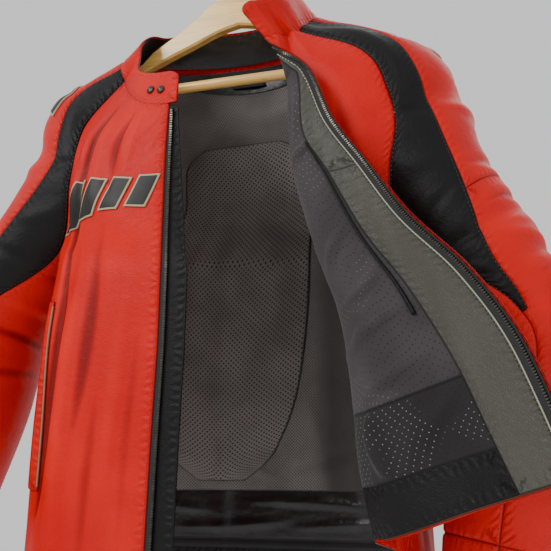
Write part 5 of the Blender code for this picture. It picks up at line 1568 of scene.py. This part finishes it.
class JACKET_OT_left_front(bpy.types.Operator):
    """Builds the inside of the open left front and the pocket on its outside."""
    bl_idname = "jacket.left_front"
    bl_label = "Left front trim"

    def execute(self, context):
        panel = PANELS["front_left"]
        sizes = context.scene.jacket_sizes
        laid("zip_tape_left", panel, RED_EDGE, TAPE_EDGE, 0.03, 0.985, LINING_DEPTH, ZIP_TAPE,
             "woven zip tape", 0.003)
        for word, low, high in (("upper", LINING_TOP, FACING_SEAM), ("lower", FACING_SEAM, 0.995)):
            laid("facing_left_" + word, panel, TAPE_EDGE, facing_edge, low, high, LINING_DEPTH, LINING,
                 "facing cowhide", 0.003, "facing_left_" + word, crown=0.0010)
        laid("lining_left_upper", panel, facing_edge, 0.985, LINING_TOP, LINING_CROSS_SEAM,
             LINING_DEPTH, LINING, "perforated flap lining", own="lining_left_upper")
        laid("lining_left_lower", panel, facing_edge, 0.985, LINING_CROSS_SEAM, HEM_FACING_LEFT, LINING_DEPTH,
             LINING, "perforated hem lining", own="lining_left_lower")
        laid("hem_facing_left", panel, facing_edge, 0.985, HEM_FACING_LEFT, 0.995, LINING_DEPTH, LINING,
             "black cowhide")
        laid("inner_pocket_piping", panel, part_way(facing_edge, BEFORE_FOLD, PIPING_SHARES[0]),
             part_way(facing_edge, BEFORE_FOLD, PIPING_SHARES[1]), 0.31, 0.70,
             LINING_DEPTH + LINING + LAYER_GAP, PIPING, "black cowhide", 0.002, crown=0.0008)
        laid("pocket_welt_left", panel, flap_reach(0.150), flap_reach(0.172), 0.62, 0.93, -LAYER_GAP - LEATHER,
             LEATHER, "red cowhide", 0.002, crown=0.0012)
        laid("lining_side_left", PANELS["side_left"], 0.06, 0.94, 0.48, 0.90, LINING_DEPTH + LAYER_GAP, LINING,
             "side mesh lining in painted shade")
        v = np.linspace(0.03, 0.985, 300)
        reach = flap_reach(0.0050)(v)
        path, normal = panel.at(reach, v, LINING_DEPTH + ZIP_TAPE + 0.0006)
        beside, _ = panel.at(flap_reach(0.0030)(v), v, LINING_DEPTH + ZIP_TAPE + 0.0006)
        teeth("zip_teeth_left", path, normal, beside - path, (0.0028, 0.0014, 0.0024), sizes.tooth,
              "gunmetal zinc")
        v = np.linspace(LINING_TOP, 0.995, 260)
        path, _ = panel.at(TAPE_EDGE(v), v, LINING_DEPTH + LINING + 0.0004)
        tube("facing_binding", path, 0.0007, "pale thread")
        u = np.linspace(0.03, 0.53, 160)
        path, _ = panel.at(u, np.full(u.shape, 0.996), 0.5 * (LINING_DEPTH + LINING))
        tube("flap_raw_hem", path, 0.0012, "raw leather edge")
        lines = []
        for word in ("upper", "lower"):
            low, high = (LINING_TOP, FACING_SEAM) if word == "upper" else (FACING_SEAM, 0.995)
            v = np.linspace(low + 0.004, high - 0.004, 220)
            path, normal = panel.at(part_way(TAPE_EDGE, facing_edge, 0.035)(v), v,
                                    LINING_DEPTH + LINING + 0.0012)
            lines.append((path, -normal))
        stitches("facing_stitching", lines, "dark thread", 0.0024, 0.0040, 0.0005)
        return {"FINISHED"}


class JACKET_OT_back_inside(bpy.types.Operator):
    """Builds the back's linings, band, joining zip, hem facing, neck facing, loop and protector."""
    bl_idname = "jacket.back_inside"
    bl_label = "Back inside"

    def execute(self, context):
        panel = PANELS["back_panel"]
        sizes = context.scene.jacket_sizes
        for name, low, high, look, slot in (
                ("lining_back", LINING_TOP, BAND_TOP, "fine mesh lining", "mesh_lining"),
                ("waist_band_back", BAND_TOP, JOIN_ZIP_TOP, "warp satin", "satin_lining"),
                ("joining_zip_back", JOIN_ZIP_TOP, JOIN_ZIP_END, "woven zip tape", "zip_tape"),
                ("hem_facing_back", JOIN_ZIP_END, 0.995, "black cowhide", "black_leather")):
            laid(name, panel, 0.03, 0.97, low, high, LINING_DEPTH, LINING, look,
                 own=name if name in LINING_CREASES else "none",
                 crown=0.0015 if name == "waist_band_back" else 0.0)
        above = LINING_DEPTH + LINING + LAYER_GAP
        share = np.linspace(0, 1, 25)[:, None]
        u = np.linspace(0.16, 0.84, 90)[None, :]
        v = 0.012 + share * (0.012 + 0.040 * np.clip(4 * u * (1 - u), 0, 1) ** 1.5)
        points, normal = panel.at(u + 0 * v, v)
        wall("neck_facing", points - normal * above, points - normal * (above + LINING), "warp satin", 1,
             "neck_facing", None)
        share = np.linspace(0.35, 0.8, 9)[:, None]
        u = np.linspace(0.42, 0.58, 40)[None, :]
        v = 0.012 + share * (0.012 + 0.040 * np.clip(4 * u * (1 - u), 0, 1) ** 1.5)
        points, normal = panel.at(u + 0 * v, v)
        bow = 0.003 * np.sqrt(np.clip(1 - ((u - 0.5) / 0.08) ** 2, 0, 1)) + 0 * v
        deep = above + LINING + LAYER_GAP + bow
        wall("hanger_loop", points - normal * deep[..., None],
             points - normal * (deep + HANGER_LOOP)[..., None], "woven zip tape", 1,
             "hanger_loop", None)
        self.protector(panel, above)
        v = np.full(200, (JOIN_ZIP_TOP + JOIN_ZIP_END) / 2)
        u = np.linspace(0.05, 0.95, 200)
        path, normal = panel.at(u, v, LINING_DEPTH + LINING + 0.0010)
        beside, _ = panel.at(u, v + 0.01, LINING_DEPTH + LINING + 0.0010)
        teeth("joining_zip_teeth", path, normal, beside - path, (0.0040, 0.0014, 0.0020), sizes.tooth,
              "woven zip tape")
        return {"FINISHED"}

    def protector(self, panel, above):
        """Foam pad: a half-ellipse across, low at its rim, with its outline from a table."""
        v = np.linspace(PROTECTOR.rows[0, 0], PROTECTOR.rows[-1, 0], 110)[:, None]
        half, = PROTECTOR.read(v, "half")
        share = np.sin(np.linspace(-math.pi / 2, math.pi / 2, 71))[None, :]
        crown = np.sqrt(np.clip((1 - share ** 2) * half / half.max(), 0, 1))
        height = PROTECTOR_RIM + (PROTECTOR_CROWN - PROTECTOR_RIM) * crown
        u = PROTECTOR_MIDDLE + share * half
        points, normal = panel.at(u, v + 0 * u)
        near = points - normal * above
        thing = wall("back_protector", near, near - normal * height[..., None], "perforated pad cover", 1,
                     "back_protector", None)


class JACKET_OT_stitching(bpy.types.Operator):
    """Sews the seams of the outer leather."""
    bl_idname = "jacket.stitching"
    bl_label = "Seam stitching"

    def execute(self, context):
        sizes = context.scene.jacket_sizes

        def sew(name, look, pairs):
            lines = [line for piece, words in pairs for line in border_paths(piece, words)]
            stitches(name, lines, look, sizes.stitch, sizes.pitch, sizes.thread)

        sew("front_stitching", "red thread",
            [("front_right", "left top bottom"), ("front_left", "left top bottom right"),
             ("back_panel", "top bottom left right"), ("side_right", "left right"),
             ("side_left", "left right")])
        for word in ("right", "left"):
            sew("strip_stitching_" + word, "dark thread",
                [("shoulder_strip_" + word, "left right")])
            sew("sleeve_stitching_" + word, "red thread",
                [("sleeve_upper_" + word, "bottom right"), ("sleeve_lower_" + word, "top right"),
                 ("sleeve_under_" + word, "left right"), ("cuff_" + word, "top bottom")])
        return {"FINISHED"}


class JACKET_OT_hanger(bpy.types.Operator):
    """Finishes the hanger's wood, bar and hook."""
    bl_idname = "jacket.hanger"
    bl_label = "Hanger"

    def execute(self, context):
        x = np.linspace(-BAR_HALF, BAR_HALF, 60)
        tube("hanger_rail", vector(x, 0, BAR_Z), BAR_RADIUS, "lacquered lotus wood", 40,
             "hanger_bar")
        reach = HOOK_INSIDE + HOOK_WIRE
        turns = np.radians(np.linspace(-90, 205, 90))
        crook = vector(reach * np.cos(turns), 0, -HOOK_INSIDE + reach * np.sin(turns))
        stem = vector(0, 0, np.linspace(HOOK_STEM_END, HOOK_STEM_BEND, 12))
        neck = np.linspace(0, 1, 14)[1:-1, None]
        joined = np.concatenate([stem, stem[-1] + (crook[0] - stem[-1]) * neck, crook])
        tube("hanger_crook", joined, HOOK_WIRE, "drawn steel wire", 16, "hanger_hook")
        body = bpy.data.objects["hanger_body"]
        body.data.materials.clear()
        body.data.materials.append(bpy.data.materials["lacquered lotus wood"])
        for name in ("zip_slider", "zip_pull"):
            thing = bpy.data.objects[name]
            thing.data.materials.clear()
            thing.data.materials.append(bpy.data.materials["gunmetal zinc"])
        return {"FINISHED"}


# Camera at the photograph's angle: place, compass turn, rise and roll in degrees, and its lens
CAMERA_PLACE = (0.278, -0.84, -0.5355)
CAMERA_TURN = 16.0
CAMERA_RISE = 9.2
CAMERA_ROLL = -1.2
CAMERA_LENS = 36 * 800 / 551
FLOOR_Z = -1.30


class JACKET_OT_stage(bpy.types.Operator):
    """Adds the pale floor, soft lights, pale surroundings and the camera."""
    bl_idname = "jacket.stage"
    bl_label = "Stage"

    def execute(self, context):
        half = context.scene.jacket_sizes.floor / 2
        mesh = bpy.data.meshes.new("floor")
        mesh.from_pydata([(-half, -half, FLOOR_Z), (half, -half, FLOOR_Z), (half, half, FLOOR_Z),
                          (-half, half, FLOOR_Z)], [], [(0, 1, 2, 3)])
        tree = new_material("pale floor")[0]
        finish_material(tree, {"Base Color": (0.85, 0.85, 0.85, 1), "Roughness": 0.9})
        mesh.materials.append(bpy.data.materials["pale floor"])
        floor = bpy.data.objects.new("floor", mesh)
        context.scene.collection.objects.link(floor)
        world = bpy.data.worlds.new("pale room")
        world.use_nodes = True
        world.node_tree.nodes["Background"].inputs["Color"].default_value = (1, 1, 1, 1)
        world.node_tree.nodes["Background"].inputs["Strength"].default_value = 0.85
        context.scene.world = world
        for name, spot, size, power in (
                ("key light", (-1.1, -1.6, 0.7), 0.9, 34),
                ("fill light", (1.3, -1.2, -0.6), 1.2, 6),
                ("rim light", (0.3, 1.6, 0.8), 1.2, 12)):
            light = bpy.data.lights.new(name, "AREA")
            light.size = size
            light.energy = power
            lamp = bpy.data.objects.new(name, light)
            target = np.array([0.0, 0.0, -0.4])
            back = unit(np.array(spot) - target)
            side = unit(np.cross([0, 0, 1.0], back))
            lamp.matrix_world = Matrix([[side[i], np.cross(back, side)[i], back[i], spot[i]] for i in range(3)]
                                       + [[0, 0, 0, 1]])
            context.scene.collection.objects.link(lamp)
        turn, rise, roll = (math.radians(x) for x in (CAMERA_TURN, CAMERA_RISE, CAMERA_ROLL))
        ahead = np.array([-math.sin(turn) * math.cos(rise), math.cos(turn) * math.cos(rise), math.sin(rise)])
        right = np.array([math.cos(turn), math.sin(turn), 0])
        up = np.cross(right, ahead)
        across = right * math.cos(roll) + up * math.sin(roll)
        over = up * math.cos(roll) - right * math.sin(roll)
        lens = bpy.data.cameras.new("camera")
        lens.sensor_width = 36
        lens.lens = CAMERA_LENS
        lens.clip_start = 0.01
        eye = bpy.data.objects.new("camera", lens)
        eye.matrix_world = Matrix([[across[i], over[i], -ahead[i], CAMERA_PLACE[i]] for i in range(3)]
                                  + [[0, 0, 0, 1]])
        context.scene.collection.objects.link(eye)
        context.scene.camera = eye
        return {"FINISHED"}


STEPS = (JACKET_OT_materials, JACKET_OT_body, JACKET_OT_sleeves, JACKET_OT_collar, JACKET_OT_right_front,
         JACKET_OT_left_front, JACKET_OT_back_inside, JACKET_OT_stitching, JACKET_OT_hanger, JACKET_OT_stage)


class JACKET_PT_panel(bpy.types.Panel):
    """Lists the jacket's steps, colours and sizes."""
    bl_idname = "JACKET_PT_panel"
    bl_label = "Leather jacket"
    bl_space_type = "VIEW_3D"
    bl_region_type = "UI"
    bl_category = "Jacket"

    def draw(self, context):
        for step in STEPS:
            self.layout.operator(step.bl_idname)
        for group in (context.scene.jacket_colours, context.scene.jacket_sizes):
            for word in group.__annotations__:
                self.layout.prop(group, word)


CLASSES = (JACKET_PG_colours, JACKET_PG_sizes, *STEPS, JACKET_PT_panel)


def register():
    for kind in CLASSES:
        bpy.utils.register_class(kind)
    bpy.types.Scene.jacket_colours = PointerProperty(type=JACKET_PG_colours)
    bpy.types.Scene.jacket_sizes = PointerProperty(type=JACKET_PG_sizes)


def unregister():
    del bpy.types.Scene.jacket_sizes
    del bpy.types.Scene.jacket_colours
    for kind in reversed(CLASSES):
        bpy.utils.unregister_class(kind)


def main():
    """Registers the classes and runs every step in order."""
    register()
    for step in STEPS:
        family, word = step.bl_idname.split(".")
        getattr(getattr(bpy.ops, family), word)()


if __name__ == "__main__":
    main()
